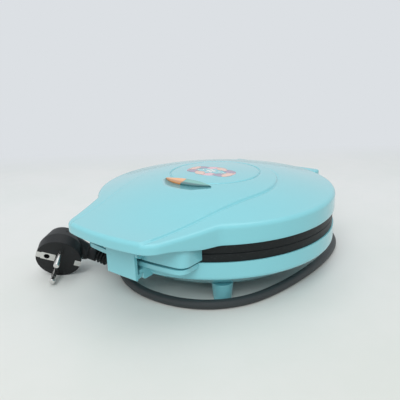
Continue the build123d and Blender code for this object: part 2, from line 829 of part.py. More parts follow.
def cord_points():
    """Route of the cord, from inside the plug's neck round the base to the clamp."""
    bend = Vector(-69.3, -80.8, 14.1)
    start = plug_neck_start() + (bend - plug_neck_start()).normalized() * 12.0
    floor = cord_radius
    return [
        start, bend, (-47.0, -79.6, 8.6), (-26.3, -90.6, 4.0), (0.0, -96.5, floor), (30.0, -93.5, floor),
        (56.0, -80.0, floor), (75.0, -55.0, floor), (84.5, -20.0, floor), (90.0, 18.0, floor),
        (91.5, 55.0, floor), (83.0, 84.0, floor), (64.0, 108.0, floor), (38.0, 124.0, floor),
        (8.0, 132.0, floor), (-26.0, 133.0, floor), (-59.0, 136.0, floor), (-89.0, 146.0, floor),
        (-114.0, 165.0, floor), (-124.0, 195.0, floor), (-111.0, 225.0, floor), (-81.0, 238.0, 5.5),
        (-50.0, 229.0, 12.0), (cord_exit_x - 2.0, 201.0, 22.0), (cord_exit_x, rear_reach + 45.7, cord_exit_z),
        (cord_exit_x, clamp_y() - 5, cord_exit_z),
    ]


def bend_radii(points):
    """Radius at each corner: as large as the shorter of its two runs allows."""
    radii = []
    for before, here, after in zip(points, points[1:], points[2:]):
        run_in = Vector(here) - Vector(before)
        run_out = Vector(after) - Vector(here)
        turn = math.radians(run_in.get_angle(run_out))
        radii.append(0.45 * min(run_in.length, run_out.length) / math.tan(turn / 2))
    return radii


def mains_cord():
    """Round cord as straight runs joined by tangent arcs."""
    points = cord_points()
    radii = bend_radii(points)
    print("cord radii", [round(r, 1) for r in radii])
    path = FilletPolyline(*points, radius=radii)
    tube = sweep(Plane(origin=path @ 0, z_dir=path % 0) * Circle(cord_radius), path=path)
    print("cord length", round(path.length, 1), "volume", round(tube.volume, 1))
    print("section times length", round(math.pi * cord_radius ** 2 * path.length, 1))
    return tube


def strain_relief():
    """Tapered boot through the rear wall, with a collar inside it."""
    start = rear_reach - base_wall - 2.0
    way = Pos(cord_exit_x, start, cord_exit_z) * Rot(-90, 0, 0)
    boot = Cylinder(boot_collar, 2.0 - pin_fit, align=STANDING)
    boot += Cylinder(boot_root_radius, base_wall + 4.0, align=STANDING)
    taper = Cone(boot_root_radius, boot_tip_radius, boot_length - 2.0, align=STANDING)
    boot += Pos(0, 0, base_wall + 4.0) * taper
    for i in range(4):
        low = base_wall + 8.0 + 4.2 * i
        ring = Cylinder(boot_root_radius, 1.6, align=STANDING) - Cylinder(cord_bore + 0.7, 1.6, align=STANDING)
        boot -= Pos(0, 0, low) * ring
    boot -= Cylinder(cord_bore, 3 * boot_length)
    return way * boot


def plug_plane():
    """Frame of the plug: origin on its face, X towards the cord, Z towards its back."""
    face = Vector(*plug_face)
    back = (plug_neck_start() - face).normalized()
    return Plane(origin=face, x_dir=plug_side_way, z_dir=back)


def plug_shoulder(start, way):
    """Tapered shoulder that leads the round plug into its neck: wide across the pins, slim from face to back."""
    across = way.cross(plug_plane().z_dir).normalized()
    if across.Z < 0:
        across = -across
    wide = Plane(origin=start + across * plug_shoulder_lift + way * 2.0, x_dir=across, z_dir=way)
    slim = Plane(origin=start + way * (plug_neck_length - 1.0), x_dir=across, z_dir=way)
    return loft([
        wide * Ellipse(plug_shoulder_width, plug_shoulder_depth),
        slim * Ellipse(plug_neck_radius + 0.3, plug_neck_radius + 0.2),
    ])


def plug_body():
    """Round moulded plug that turns its cord off sideways."""
    rim = plug_radius
    profile = Polyline((0, 0), (rim, 0), (rim, plug_rim_depth))
    shoulder = Line((rim, plug_rim_depth), (plug_back_radius, plug_depth))
    section = make_face(profile + shoulder + Polyline((plug_back_radius, plug_depth), (0, plug_depth), (0, 0)))
    form = revolve(Plane.XZ * section, Axis.Z)
    form = fillet(form.edges().filter_by(GeomType.CIRCLE).sort_by(Axis.Z)[1:], 3.0)
    form -= Pos(-plug_earth_offset, 0, 0) * Cylinder(plug_earth_hole, 2 * 14.0)
    form -= earth_contacts(pin_fit)
    form = plug_plane() * form
    start = plug_neck_start()
    way = (Vector(cord_points()[1]) - start).normalized()
    neck = Plane(origin=start, z_dir=way)
    form += neck * Cylinder(plug_neck_radius, plug_neck_length, align=STANDING)
    form += plug_shoulder(start, way)
    bore = Plane(origin=start + way * 12.0, z_dir=way)
    return form - bore * Cylinder(cord_bore, plug_neck_length, align=STANDING)


def plug_pins():
    """Two round contact pins."""
    half = plug_pin_spacing / 2
    pin = Pos(0, half, -plug_pin_length) * Cylinder(plug_pin_radius, plug_pin_length, align=STANDING)
    pin = fillet(pin.edges().filter_by(GeomType.CIRCLE).sort_by(Axis.Z)[0], plug_pin_radius / 2)
    return plug_plane() * (pin + mirror(pin, Plane.XZ))


def earth_contacts(spare):
    """The rim's two clips, each bent over the face, and the plate round the earth hole, grown by a clearance."""
    low = -2 * spare
    half = clip_width / 2 + spare
    clip = block(plug_radius - clip_thickness - spare, plug_radius + spare, -half, half, low, clip_length + spare)
    clip += block(plug_radius - clip_lip - spare, plug_radius, -half, half, low, clip_thickness / 2 + spare)
    plate_half = earth_plate_width / 2 + spare
    plate = block(
        -plug_earth_offset - earth_plate_length / 2 + 1.0 - spare, -plug_earth_offset + earth_plate_length / 2 + 1.0 + spare,
        -plate_half, plate_half, low, earth_plate_thickness + spare,
    )
    return clip + mirror(clip, Plane.YZ) + plate


def plug_earth_clips():
    """Earth contacts: two clips at the plug's rim and a plate with the earth hole."""
    hole = Pos(-plug_earth_offset, 0, 0) * Cylinder(plug_earth_hole, 2 * plug_depth)
    return plug_plane() * (earth_contacts(0.0) - hole)


def plug_strain_relief():
    """Ribbed sleeve that bends with the cord where it leaves the plug."""
    points = cord_points()
    start = plug_neck_start()
    bend = Vector(points[1])
    way = (bend - start).normalized()
    begin = start + way * (plug_neck_length + pin_fit)
    end = bend + (Vector(points[2]) - bend) * 0.52
    path = FilletPolyline(begin, bend, end, radius=bend_radii(points)[0])
    section = Plane(origin=path @ 0, z_dir=path % 0)
    sleeve = sweep(section * Circle(plug_relief_radius), path=path)
    for i in range(4):
        at = 0.45 + 0.13 * i
        slot = Plane(origin=path @ at, z_dir=path % at)
        ring = Cylinder(plug_relief_radius + 1, 1.4) - Cylinder(cord_bore + 0.8, 1.4)
        sleeve -= slot * ring
    return sleeve - sweep(section * Circle(cord_bore), path=path)


def hinge_pins():
    """Two pins, each through an ear and a knuckle."""
    reach = ear_inner_x + ear_width + ear_gap + knuckle_width
    return mirror_sides(cross_rod(hinge_pin_radius, ear_inner_x, reach, hinge_y, hinge_z))


def latch_pin():
    """Pin through the latch's barrel and its two ears."""
    reach = latch_half_width + latch_side_gap + latch_ear_width
    return cross_rod(latch_pin_radius, -reach, reach, latch_pivot_y, latch_pivot_z)


def foot_pads():
    """Four soft pads under the legs."""
    return Part() + [rod(pad_radius, 0, pad_thickness, x, y) for x, y in leg_places()]


def lower_plate_screws():
    """Screws from under the bowl into the lower plate's posts."""
    return Part() + [screw(x, y, floor_z, parting_z - plate_thickness - 4, ) for x, y in post_places()]


def upper_plate_screws():
    """Screws from the upper plate's cooking face into the lid's bosses."""
    seat = parting_z + head_height + head_fit
    return Part() + [screw(x, y, seat, dome_height(post_ring) - lid_wall - 0.5) for x, y in post_places()]


def lid_screws():
    """Screws that hold the inner frame in the lid."""
    return Part() + [screw(x, y, flange_low_z, frame_screw_top() - 0.5) for x, y in frame_screw_places()]


def clamp_screws():
    """Screws of the cord clamp."""
    head = cord_exit_z + cord_radius / 2 + clamp_thickness
    low = base_block_low_z + base_wall + 0.5
    return Part() + [screw(x, clamp_y(), head, low) for x in clamp_screw_places()]


def thermal_fuse():
    """One-shot fuse under the plate, between two cavities."""
    x, y = around(1, thermostat_y, 50)[0]
    return Pos(x, y, parting_z - plate_thickness - 2.3) * Rot(0, 90, 140) * Cylinder(2.2, 12.0)


save(lid_housing(), "lid_housing")
save(inner_frame(), "lid_inner_frame")
save(latch(), "latch")
save(latch_pin(), "latch_pin")
save(lid_screws(), "lid_screws")
save(upper_plate(), "upper_plate")
save(upper_plate_screws(), "upper_plate_screws")
save(flip(element()), "upper_heating_element")
save(flip(reflector()), "upper_reflector")
save(flip(thermostat()), "upper_thermostat")
save(lens_half(-1), "power_lens")
save(lens_half(1), "ready_lens")
save(lamp_holder(), "lamp_holder")
save(lamp(-13.5), "power_lamp")
save(lamp(9.5), "ready_lamp")
save(flip(lid_wires()), "lid_wires")
save(base_housing(), "base_housing")
save(foot_pads(), "foot_pads")
save(hinge_pins(), "hinge_pins")
save(lower_plate(), "lower_plate")
save(lower_plate_screws(), "lower_plate_screws")
save(element(), "lower_heating_element")
save(reflector(), "lower_reflector")
save(thermostat(), "lower_thermostat")
save(thermal_fuse(), "thermal_fuse")
save(terminal_block(), "terminal_block")
save(base_wires(), "base_wires")
save(cord_clamp(), "cord_clamp")
save(clamp_screws(), "clamp_screws")
save(strain_relief(), "strain_relief")
save(mains_cord(), "mains_cord")
save(plug_body(), "plug_body")
save(plug_pins(), "plug_pins")
save(plug_earth_clips(), "plug_earth_clips")
save(plug_strain_relief(), "plug_strain_relief")
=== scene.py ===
"""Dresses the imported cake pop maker: the lid's skin with its groove, crease and lenses, the printed
badge, the plug's ribbed relief, the cord, the finish of every piece, the floor it stands on and the
light."""
import json
import math

import bmesh
import bpy
import numpy as np
from mathutils import Matrix, Vector


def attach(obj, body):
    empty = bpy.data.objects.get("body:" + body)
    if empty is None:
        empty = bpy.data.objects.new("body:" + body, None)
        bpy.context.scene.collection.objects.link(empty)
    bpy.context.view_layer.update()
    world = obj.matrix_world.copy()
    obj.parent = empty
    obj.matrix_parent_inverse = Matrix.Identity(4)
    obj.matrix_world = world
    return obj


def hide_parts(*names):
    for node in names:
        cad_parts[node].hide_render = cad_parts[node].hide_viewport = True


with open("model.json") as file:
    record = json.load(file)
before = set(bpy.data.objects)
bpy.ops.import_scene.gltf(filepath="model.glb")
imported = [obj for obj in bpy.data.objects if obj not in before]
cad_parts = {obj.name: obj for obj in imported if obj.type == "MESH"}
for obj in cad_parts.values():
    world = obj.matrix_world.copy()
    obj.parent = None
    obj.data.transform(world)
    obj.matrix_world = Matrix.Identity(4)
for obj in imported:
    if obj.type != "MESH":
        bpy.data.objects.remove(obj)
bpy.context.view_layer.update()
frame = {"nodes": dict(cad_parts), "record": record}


# ---------------------------------------------------------------- camera

CAMERA_BEARING, CAMERA_TILT, CAMERA_ROLL = (math.radians(a) for a in (38.4, 17.63, -1.82))
CAMERA_PLACE = (0.2503, -0.3260, 0.1900)        # metres
CAMERA_LENS, CAMERA_SENSOR = 43.57, 36.0


def place_camera():
    """The photograph's camera: place, bearing, height angle, roll and lens."""
    bearing, tilt, roll = CAMERA_BEARING, CAMERA_TILT, CAMERA_ROLL
    level = math.cos(tilt)
    back = Vector((math.sin(bearing) * level, -math.cos(bearing) * level, math.sin(tilt)))
    right = Vector((math.cos(bearing), math.sin(bearing), 0.0))
    up = back.cross(right)
    turned_right = right * math.cos(roll) + up * math.sin(roll)
    turned_up = up * math.cos(roll) - right * math.sin(roll)
    lens = bpy.data.cameras.new("photo_camera")
    lens.lens = CAMERA_LENS
    lens.sensor_width = CAMERA_SENSOR
    lens.clip_start = 0.01
    camera = bpy.data.objects.new("photo_camera", lens)
    columns = (turned_right, turned_up, back, CAMERA_PLACE)
    rows = [[column[row] for column in columns] for row in range(3)]
    camera.matrix_world = Matrix([*rows, [0.0, 0.0, 0.0, 1.0]])
    bpy.context.scene.collection.objects.link(camera)
    bpy.context.scene.camera = camera


# ---------------------------------------------------------------- shader helpers

def feed(tree, socket, value):
    """Links another node's socket to this one, or sets a constant on it."""
    if isinstance(value, bpy.types.NodeSocket):
        tree.links.new(value, socket)
    else:
        socket.default_value = value


class Finish:
    """A material under construction: its node tree, its Principled shader and short ways to add
    nodes."""

    def __init__(self, name, colour, roughness, metallic=0.0):
        self.material = bpy.data.materials.new(name)
        self.material.use_nodes = True
        self.tree = self.material.node_tree
        self.shader = self.tree.nodes["Principled BSDF"]
        self.shader.inputs["Base Color"].default_value = (*colour, 1.0)
        self.shader.inputs["Roughness"].default_value = roughness
        self.shader.inputs["Metallic"].default_value = metallic
        self.place = self.tree.nodes.new("ShaderNodeTexCoord").outputs["Object"]

    def group(self, tree, **values):
        """Places a shared effect; its inputs are named in values, with sockets or numbers."""
        node = self.tree.nodes.new("ShaderNodeGroup")
        node.node_tree = tree
        for name, value in values.items():
            feed(self.tree, node.inputs[name.replace("_", " ").capitalize()], value)
        self.tree.links.new(self.place, node.inputs["Place"])
        return node

    def link(self, output, name):
        self.tree.links.new(output, self.shader.inputs[name])

    def set(self, **values):
        """Sets the shader's own inputs, as in coat_weight=0.6."""
        for name, value in values.items():
            label = name.replace("_", " ").title().replace("Ior", "IOR")
            self.shader.inputs[label].default_value = value


def new_group(name, inputs, outputs):
    """A shader node group with named inputs and outputs; each input is (name, kind, value)."""
    tree = bpy.data.node_groups.new(name, "ShaderNodeTree")
    tree.interface.new_socket(name="Place", in_out="INPUT", socket_type="NodeSocketVector")
    for label, kind, value in inputs:
        socket = tree.interface.new_socket(name=label, in_out="INPUT", socket_type=kind)
        socket.default_value = value
    for label, kind in outputs:
        tree.interface.new_socket(name=label, in_out="OUTPUT", socket_type=kind)
    return tree, tree.nodes.new("NodeGroupInput"), tree.nodes.new("NodeGroupOutput")


def noise(tree, place, scale, detail=3.0, rough=0.5):
    node = tree.nodes.new("ShaderNodeTexNoise")
    names = ("Vector", "Scale", "Detail", "Roughness")
    for name, value in zip(names, (place, scale, detail, rough)):
        feed(tree, node.inputs[name], value)
    return node.outputs["Fac"]


def math_node(tree, operation, *values):
    node = tree.nodes.new("ShaderNodeMath")
    node.operation = operation
    for slot, value in enumerate(values):
        feed(tree, node.inputs[slot], value)
    return node.outputs[0]


def remap(tree, value, low, high, to_low=0.0, to_high=1.0):
    """The value's span from low to high led to another, and held at its ends."""
    node = tree.nodes.new("ShaderNodeMapRange")
    names = ("Value", "From Min", "From Max", "To Min", "To Max")
    for name, v in zip(names, (value, low, high, to_low, to_high)):
        feed(tree, node.inputs[name], v)
    return node.outputs["Result"]


def mix_colours(tree, share, first, second):
    """From the first colour at share 0 to the second at 1; each is a socket or three numbers."""
    node = tree.nodes.new("ShaderNodeMix")
    node.data_type = "RGBA"
    feed(tree, node.inputs[0], share)
    for slot, colour in ((6, first), (7, second)):
        linked = isinstance(colour, bpy.types.NodeSocket)
        feed(tree, node.inputs[slot], colour if linked else (*colour, 1.0))
    return node.outputs[2]


def mix_shaders(tree, share, first, second, end):
    """Leads two shaders, mixed by share, to the tree's end node."""
    node = tree.nodes.new("ShaderNodeMixShader")
    for slot, socket in enumerate((share, first.outputs[0], second.outputs[0])):
        tree.links.new(socket, node.inputs[slot])
    tree.links.new(node.outputs[0], tree.nodes[end].inputs["Surface"])


def relief(tree, height):
    """The surface's normal, tilted by a height in millimetres."""
    node = tree.nodes.new("ShaderNodeBump")
    node.inputs["Distance"].default_value = 0.001
    tree.links.new(height, node.inputs["Height"])
    return node.outputs["Normal"]


# ---------------------------------------------------------------- shared effects

def build_grain():
    """Fine relief of a moulded or cast surface, with slow changes of gloss and of colour."""
    tree, inside, outside = new_group("surface_grain", [
        ("Grain scale", "NodeSocketFloat", 2000.0),
        ("Grain height", "NodeSocketFloat", 0.1),
        ("Ripple scale", "NodeSocketFloat", 200.0),
        ("Ripple height", "NodeSocketFloat", 0.1),
        ("Gloss", "NodeSocketFloat", 0.3),
        ("Gloss spread", "NodeSocketFloat", 0.05),
        ("Colour", "NodeSocketColor", (0.5, 0.5, 0.5, 1.0)),
        ("Shade", "NodeSocketFloat", 0.05),
    ], [
        ("Colour", "NodeSocketColor"),
        ("Roughness", "NodeSocketFloat"),
        ("Normal", "NodeSocketVector"),
    ])
    given = inside.outputs
    fine = noise(tree, given["Place"], given["Grain scale"], 2.0, 0.6)
    slow = noise(tree, given["Place"], given["Ripple scale"], 2.0, 0.5)
    swing = math_node(tree, "SUBTRACT", noise(tree, given["Place"], 34.0, 3.0, 0.6), 0.5)
    height = math_node(tree, "ADD", math_node(tree, "MULTIPLY", fine, given["Grain height"]),
                       math_node(tree, "MULTIPLY", slow, given["Ripple height"]))
    shaded = tree.nodes.new("ShaderNodeHueSaturation")
    tree.links.new(given["Colour"], shaded.inputs["Color"])
    value = math_node(tree, "MULTIPLY_ADD", swing, given["Shade"], 1.0)
    tree.links.new(value, shaded.inputs["Value"])
    rough = math_node(tree, "MULTIPLY_ADD", swing, given["Gloss spread"], given["Gloss"])
    tree.links.new(shaded.outputs["Color"], outside.inputs["Colour"])
    tree.links.new(rough, outside.inputs["Roughness"])
    tree.links.new(relief(tree, height), outside.inputs["Normal"])
    return tree


def build_flecks():
    """Sparse round specks: cells of a Voronoi pattern whose random share is low, near their
    middles."""
    tree, inside, outside = new_group("fine_flecks", [
        ("Spacing", "NodeSocketFloat", 900.0),
        ("Size", "NodeSocketFloat", 0.2),
        ("Share", "NodeSocketFloat", 0.3),
    ], [("Mask", "NodeSocketFloat")])
    cells = tree.nodes.new("ShaderNodeTexVoronoi")
    tree.links.new(inside.outputs["Place"], cells.inputs["Vector"])
    tree.links.new(inside.outputs["Spacing"], cells.inputs["Scale"])
    chance = tree.nodes.new("ShaderNodeSeparateColor")
    tree.links.new(cells.outputs["Color"], chance.inputs[0])
    kept = math_node(tree, "LESS_THAN", chance.outputs[0], inside.outputs["Share"])
    near = remap(tree, cells.outputs["Distance"], inside.outputs["Size"], 0.0)
    tree.links.new(math_node(tree, "MULTIPLY", kept, near), outside.inputs["Mask"])
    return tree


def build_drawn_lines():
    """Fine parallel lines of drawn, rolled or plated metal: noise stretched along one axis."""
    tree, inside, outside = new_group("drawn_lines", [
        ("Stretch", "NodeSocketVector", (1.0, 1.0, 1.0)),
        ("Height", "NodeSocketFloat", 0.02),
        ("Gloss", "NodeSocketFloat", 0.3),
        ("Gloss spread", "NodeSocketFloat", 0.2),
    ], [("Roughness", "NodeSocketFloat"), ("Normal", "NodeSocketVector")])
    given = inside.outputs
    pulled = tree.nodes.new("ShaderNodeVectorMath")
    pulled.operation = "MULTIPLY"
    tree.links.new(given["Place"], pulled.inputs[0])
    tree.links.new(given["Stretch"], pulled.inputs[1])
    lines = noise(tree, pulled.outputs[0], 1.0, 4.0, 0.6)
    stain = noise(tree, given["Place"], 120.0)
    swing = math_node(tree, "MULTIPLY_ADD", math_node(tree, "ADD", lines, stain), 0.5, -0.5)
    rough = math_node(tree, "MULTIPLY_ADD", swing, given["Gloss spread"], given["Gloss"])
    tree.links.new(rough, outside.inputs["Roughness"])
    height = math_node(tree, "MULTIPLY", lines, given["Height"])
    tree.links.new(relief(tree, height), outside.inputs["Normal"])
    return tree


GRAIN, FLECKS, DRAWN_LINES = build_grain(), build_flecks(), build_drawn_lines()


# ---------------------------------------------------------------- finishes
# A grain and a ripple are each (scale, height): lumps per metre, and millimetres.

def grained(name, colour, gloss, grain=(2500.0, 0.02), ripple=(160.0, 0.02), spread=0.06,
            shade=0.06, metallic=0.0):
    """A finish whose colour, roughness and relief come from the grain group."""
    finish = Finish(name, colour, gloss, metallic)
    made = finish.group(
        GRAIN, grain_scale=grain[0], grain_height=grain[1], ripple_scale=ripple[0],
        ripple_height=ripple[1], gloss=gloss, gloss_spread=spread, colour=(*colour, 1.0),
        shade=shade,
    )
    finish.link(made.outputs["Colour"], "Base Color")
    finish.link(made.outputs["Roughness"], "Roughness")
    finish.link(made.outputs["Normal"], "Normal")
    return finish


def flecked(name, colour, fleck, gloss, spacing, size, share, grain, ripple):
    """A grained finish with flecks of another colour in it."""
    finish = grained(name, colour, gloss, grain, ripple, 0.10, 0.10)
    base = finish.shader.inputs["Base Color"].links[0].from_socket
    mask = finish.group(FLECKS, spacing=spacing, size=size, share=share).outputs["Mask"]
    finish.link(mix_colours(finish.tree, mask, base, fleck), "Base Color")
    return finish


def drawn(name, colour, gloss, stretch, height=0.02):
    """A bare metal with fine lines along one way and faint changes of its shade."""
    finish = Finish(name, colour, gloss, 1.0)
    made = finish.group(DRAWN_LINES, stretch=stretch, height=height, gloss=gloss, gloss_spread=0.22)
    finish.link(made.outputs["Roughness"], "Roughness")
    finish.link(made.outputs["Normal"], "Normal")
    tone = noise(finish.tree, finish.place, 60.0)
    dark, bright = [0.86 * c for c in colour], [min(1.0, 1.1 * c) for c in colour]
    finish.link(mix_colours(finish.tree, tone, dark, bright), "Base Color")
    return finish


def clear_lens(name, top, painted_shade_colour):
    """Tinted translucent plastic with painted shade: an attribute leads from the top's own colour to
    a darker copy painted on the walls, the rounded edges and along the front, and long streaks of the
    moulding run across it."""
    finish = Finish(name, top, 0.14)
    tree = finish.tree
    painted_lens_shade = tree.nodes.new("ShaderNodeAttribute")
    painted_lens_shade.attribute_name = "painted_lens_shade"
    stretched = tree.nodes.new("ShaderNodeMapping")
    stretched.inputs["Scale"].default_value = (60.0, 420.0, 60.0)
    tree.links.new(finish.place, stretched.inputs["Vector"])
    streak = remap(tree, noise(tree, stretched.outputs[0], 1.0, 2.0), 0.42, 0.62, 0.0, 0.35)
    pale = mix_colours(tree, streak, top, [min(1.0, 1.25 * c + 0.05) for c in top])
    # Painted shade: the lens's colour is mixed towards its darker copy by the painted shade
    # attribute.
    finish.link(mix_colours(tree, painted_lens_shade.outputs["Fac"], pale, painted_shade_colour), "Base Color")
    finish.link(remap(tree, noise(tree, finish.place, 300.0), 0.3, 0.7, 0.10, 0.20), "Roughness")
    finish.set(coat_weight=0.5, coat_roughness=0.05)
    return finish


DARK_FLECK = (0.10, 0.105, 0.11)

finishes = {
    "shell_plastic": grained(
        "pale_turquoise_plastic", (0.200, 0.545, 0.604), 0.22, (1800.0, 0.004), (120.0, 0.03),
        0.05, 0.03),
    "foot_rubber": grained("soft_foot_rubber", (0.16, 0.18, 0.19), 0.7, (3500.0, 0.05)),
    "nonstick": flecked(
        "black_nonstick_coat", (0.0050, 0.0072, 0.0078), DARK_FLECK, 0.44, 1100.0, 0.30, 0.22,
        (2600.0, 0.05), (420.0, 0.03)),
    "steel": drawn("zinc_steel", (0.55, 0.56, 0.57), 0.34, (900.0, 900.0, 120.0)),
    "heater_sheath": grained(
        "heater_sheath", (0.26, 0.235, 0.21), 0.42, (1800.0, 0.05), (90.0, 0.05), 0.2, 0.5, 1.0),
    "reflector_sheet": drawn("rolled_sheet", (0.72, 0.73, 0.74), 0.30, (60.0, 1400.0, 300.0)),
    "thermostat_can": drawn("pressed_can", (0.62, 0.62, 0.63), 0.34, (1200.0, 1200.0, 60.0)),
    "white_insulator": grained(
        "white_insulator", (0.75, 0.74, 0.70), 0.35, (900.0, 0.03), (150.0, 0.05), 0.1, 0.06),
    "wire_cover": grained(
        "glass_fibre_sleeve", (0.50, 0.48, 0.44), 0.62, (2400.0, 0.22), (700.0, 0.12), 0.1, 0.25),
    "black_plastic": flecked(
        "black_moulded_plastic", (0.020, 0.020, 0.021), (0.06, 0.06, 0.06), 0.45, 700.0, 0.2, 0.1,
        (1800.0, 0.08), (250.0, 0.03)),
    "cord_rubber": flecked(
        "cord_rubber", (0.026, 0.031, 0.033), (0.13, 0.14, 0.14), 0.46, 850.0, 0.16, 0.07,
        (3200.0, 0.05), (260.0, 0.07)),
    "plug_plastic": flecked(
        "plug_plastic", (0.011, 0.012, 0.013), DARK_FLECK, 0.48, 800.0, 0.14, 0.06,
        (2600.0, 0.08), (240.0, 0.03)),
    "plug_metal": drawn("nickel_plate", (0.72, 0.71, 0.69), 0.20, (500.0, 500.0, 500.0), 0.008),
    # The second colour of each lens is its painted shade, used on the walls, rounded edges and front
    # band.
    "orange_lens": clear_lens("orange_lens", (0.78, 0.38, 0.16), (0.42, 0.17, 0.03)),
    "green_lens": clear_lens("green_lens", (0.13, 0.40, 0.36), (0.012, 0.10, 0.115)),
    "lamp_glass": grained(
        "lamp_glass", (0.85, 0.80, 0.75), 0.08, (900.0, 0.0), (60.0, 0.01), 0.03, 0.05),
}
for tint, colour, shade in (
        ("rose", (0.70, 0.47, 0.52), 0.16),
        ("mauve", (0.37, 0.31, 0.40), 0.16),
        ("sand", (0.71, 0.51, 0.45), 0.16),
        ("pale", (0.66, 0.73, 0.73), 0.10),
):
    finishes["badge_" + tint] = grained(
        tint + "_print", colour, 0.32, (1500.0, 0.02), (120.0, 0.03), 0.08, shade)

finishes["shell_plastic"].set(coat_weight=0.6, coat_roughness=0.10)
finishes["lamp_glass"].set(transmission_weight=0.8, ior=1.45)
finishes["nonstick"].set(specular_ior_level=0.27)
finishes["plug_plastic"].set(specular_ior_level=0.3)


def dress_cad_nodes():
    """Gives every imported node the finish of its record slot."""
    slots = {row["node"]: row["material_slot"] for row in frame["record"]["subparts"]}
    for name, piece in frame["nodes"].items():
        piece.data.materials.clear()
        piece.data.materials.append(finishes[slots[name]].material)


# ---------------------------------------------------------------- mesh helpers
# From here on, measures are millimetres about the round body's axis, as in the part's source.

PLAN_SHIFT = 0.01285            # metres from the frame's origin to that axis, towards the hinge


def on_plan(points):
    """Millimetres about the round body's axis, as the frame's metres."""
    points = np.asarray(points, float) / 1000.0
    return points + np.array([0.0, PLAN_SHIFT, 0.0])


def mesh_piece(name, points, faces, smooth=True):
    """A mesh object at the origin from points in millimetres and arrays of faces."""
    mesh = bpy.data.meshes.new(name)
    mesh.from_pydata(on_plan(points).tolist(), [], [f for rows in faces for f in rows.tolist()])
    mesh.polygons.foreach_set("use_smooth", np.full(len(mesh.polygons), smooth))
    mesh.update()
    piece = bpy.data.objects.new(name, mesh)
    bpy.context.scene.collection.objects.link(piece)
    return piece


def finish_piece(piece, slot, body, *nodes):
    """Gives a new piece the finish of its record slot, attaches it to the body it rides on and hides
    the nodes that it stands for."""
    piece.data.materials.clear()
    piece.data.materials.append(finishes[slot].material)
    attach(piece, body)
    if nodes:
        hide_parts(*nodes)
    return piece


def make_outward(piece):
    """Merges doubles and turns every face of a closed mesh outwards."""
    form = bmesh.new()
    form.from_mesh(piece.data)
    bmesh.ops.remove_doubles(form, verts=form.verts, dist=1e-6)
    bmesh.ops.recalc_face_normals(form, faces=form.faces)
    form.to_mesh(piece.data)
    form.free()


def apply_modifiers(piece):
    """Replaces a piece's mesh by what its modifiers make of it."""
    bpy.context.view_layer.update()
    graph = bpy.context.evaluated_depsgraph_get()
    made = bpy.data.meshes.new_from_object(piece.evaluated_get(graph))
    made.name = piece.name
    piece.modifiers.clear()
    piece.data = made


def at_height(plan, z):
    """Plan points with a height: one for all of them, or one for each."""
    return np.column_stack([plan, np.broadcast_to(z, len(plan))])


def circle_points(centre, radius, angles):
    """Points on a circle: centre + radius (cos a, sin a)."""
    return centre + radius * np.stack([np.cos(angles), np.sin(angles)], axis=1)


def ring_quads(rows, around, wrap=False):
    """Quads that join each ring of points to the next, and with wrap the last ring to the first."""
    i, j = np.meshgrid(np.arange(rows if wrap else rows - 1), np.arange(around), indexing="ij")
    here, there, k = i * around, (i + 1) % rows * around, (j + 1) % around
    return np.stack([here + j, there + j, there + k, here + k], -1).reshape(-1, 4)


def closed_skin(name, rings, first, last):
    """A closed mesh from rings: quads from each ring to the next and a fan at either end."""
    rows, around, _ = rings.shape
    n = rows * around
    j = np.arange(around)
    k = (j + 1) % around
    opening = np.stack([np.full(around, n), j, k], -1)
    closing = np.stack([np.full(around, n + 1), n - around + k, n - around + j], -1)
    points = np.concatenate([rings.reshape(-1, 3), [first], [last]])
    return mesh_piece(name, points, [ring_quads(rows, around), opening, closing])


def banded_solid(name, rings):
    """A closed mesh from rings whose points run out along one side and back along the other: both
    ends are closed by quads from side to side."""
    rows, around, _ = rings.shape
    i = np.arange(around // 2 - 1)
    cap = np.stack([i, i + 1, around - 2 - i, around - 1 - i], -1)
    end = cap[:, ::-1] + (rows - 1) * around
    piece = mesh_piece(name, rings.reshape(-1, 3), [ring_quads(rows, around), cap, end])
    make_outward(piece)
    return piece


# ---------------------------------------------------------------- lid

LID_RADIUS, LID_WALL, RIM_FILLET = 104.8, 2.5, 3.0
DOME_TOP, DOME_SPHERE = 83.4, 399.0         # height of the dome's middle, radius of its sphere
BRIM_START, BRIM_END = 92.0, 140.0          # plan radii where the brim begins and would be level

GRIP_CORNER, GRIP_REACH, GRIP_LEAN = np.array([43.7, -132.7]), 138.0, math.radians(22.6)
ROOT_RADIUS, CORNER_RADIUS = 14.0, 17.0

RAISED_RADIUS, RAISED_CENTRE_Y, RAISED_TAPER = 62.0, -15.0, math.radians(13.2)
RAISED_STEP, STEP_FROM, STEP_ACROSS = 1.0, -0.6, 1.1        # height, start and width of the step
FOOT_DEPTH, FOOT_AT, FOOT_WIDTH = 0.50, -1.0, 0.6           # the hollow at the step's foot
RING_RADIUS, RING_WIDTH, RING_DEPTH = 40.0, 2.3, 1.1

SKIRT_LOW, SKIRT_RISE, RISE_START, RISE_END = 55.0, 4.6, 92.0, 125.0
OUTER_EDGE, INNER_EDGE = 0.6, 0.4           # roundings of the skirt's lower edge

# Where the skin's rings lie: circles out past the groove, then shares of the way to the crease,
# distances inside the raised field's edge across the crease, and shares of the way to the rim.
CIRCLES = (6, 12, 18, 24, 30, 35, 38, 38.9, 39.2, 39.4, 39.6, 39.8, 40, 40.2, 40.4, 40.6, 40.8,
           41.1, 41.9, 43.5)
TO_CREASE = (0.15, 0.3, 0.45, 0.6, 0.75, 0.88, 0.96)
OVER_CREASE = np.array([2.0, 1.5, 1.1, 0.8, 0.5, 0.25, 0.0, -0.25, -0.5, -0.8, -1.1, -1.5, -2.0])
TO_RIM = (0.05, 0.13, 0.25, 0.38, 0.52, 0.66, 0.8, 0.91, 1.0)
SPOKE_POLE, INNERMOST = np.array([0.0, -25.0]), 8.0
TRIALS, LAST_SHARE = 600, 0.97


def bearing_of(vector):
    return math.atan2(vector[1], vector[0])


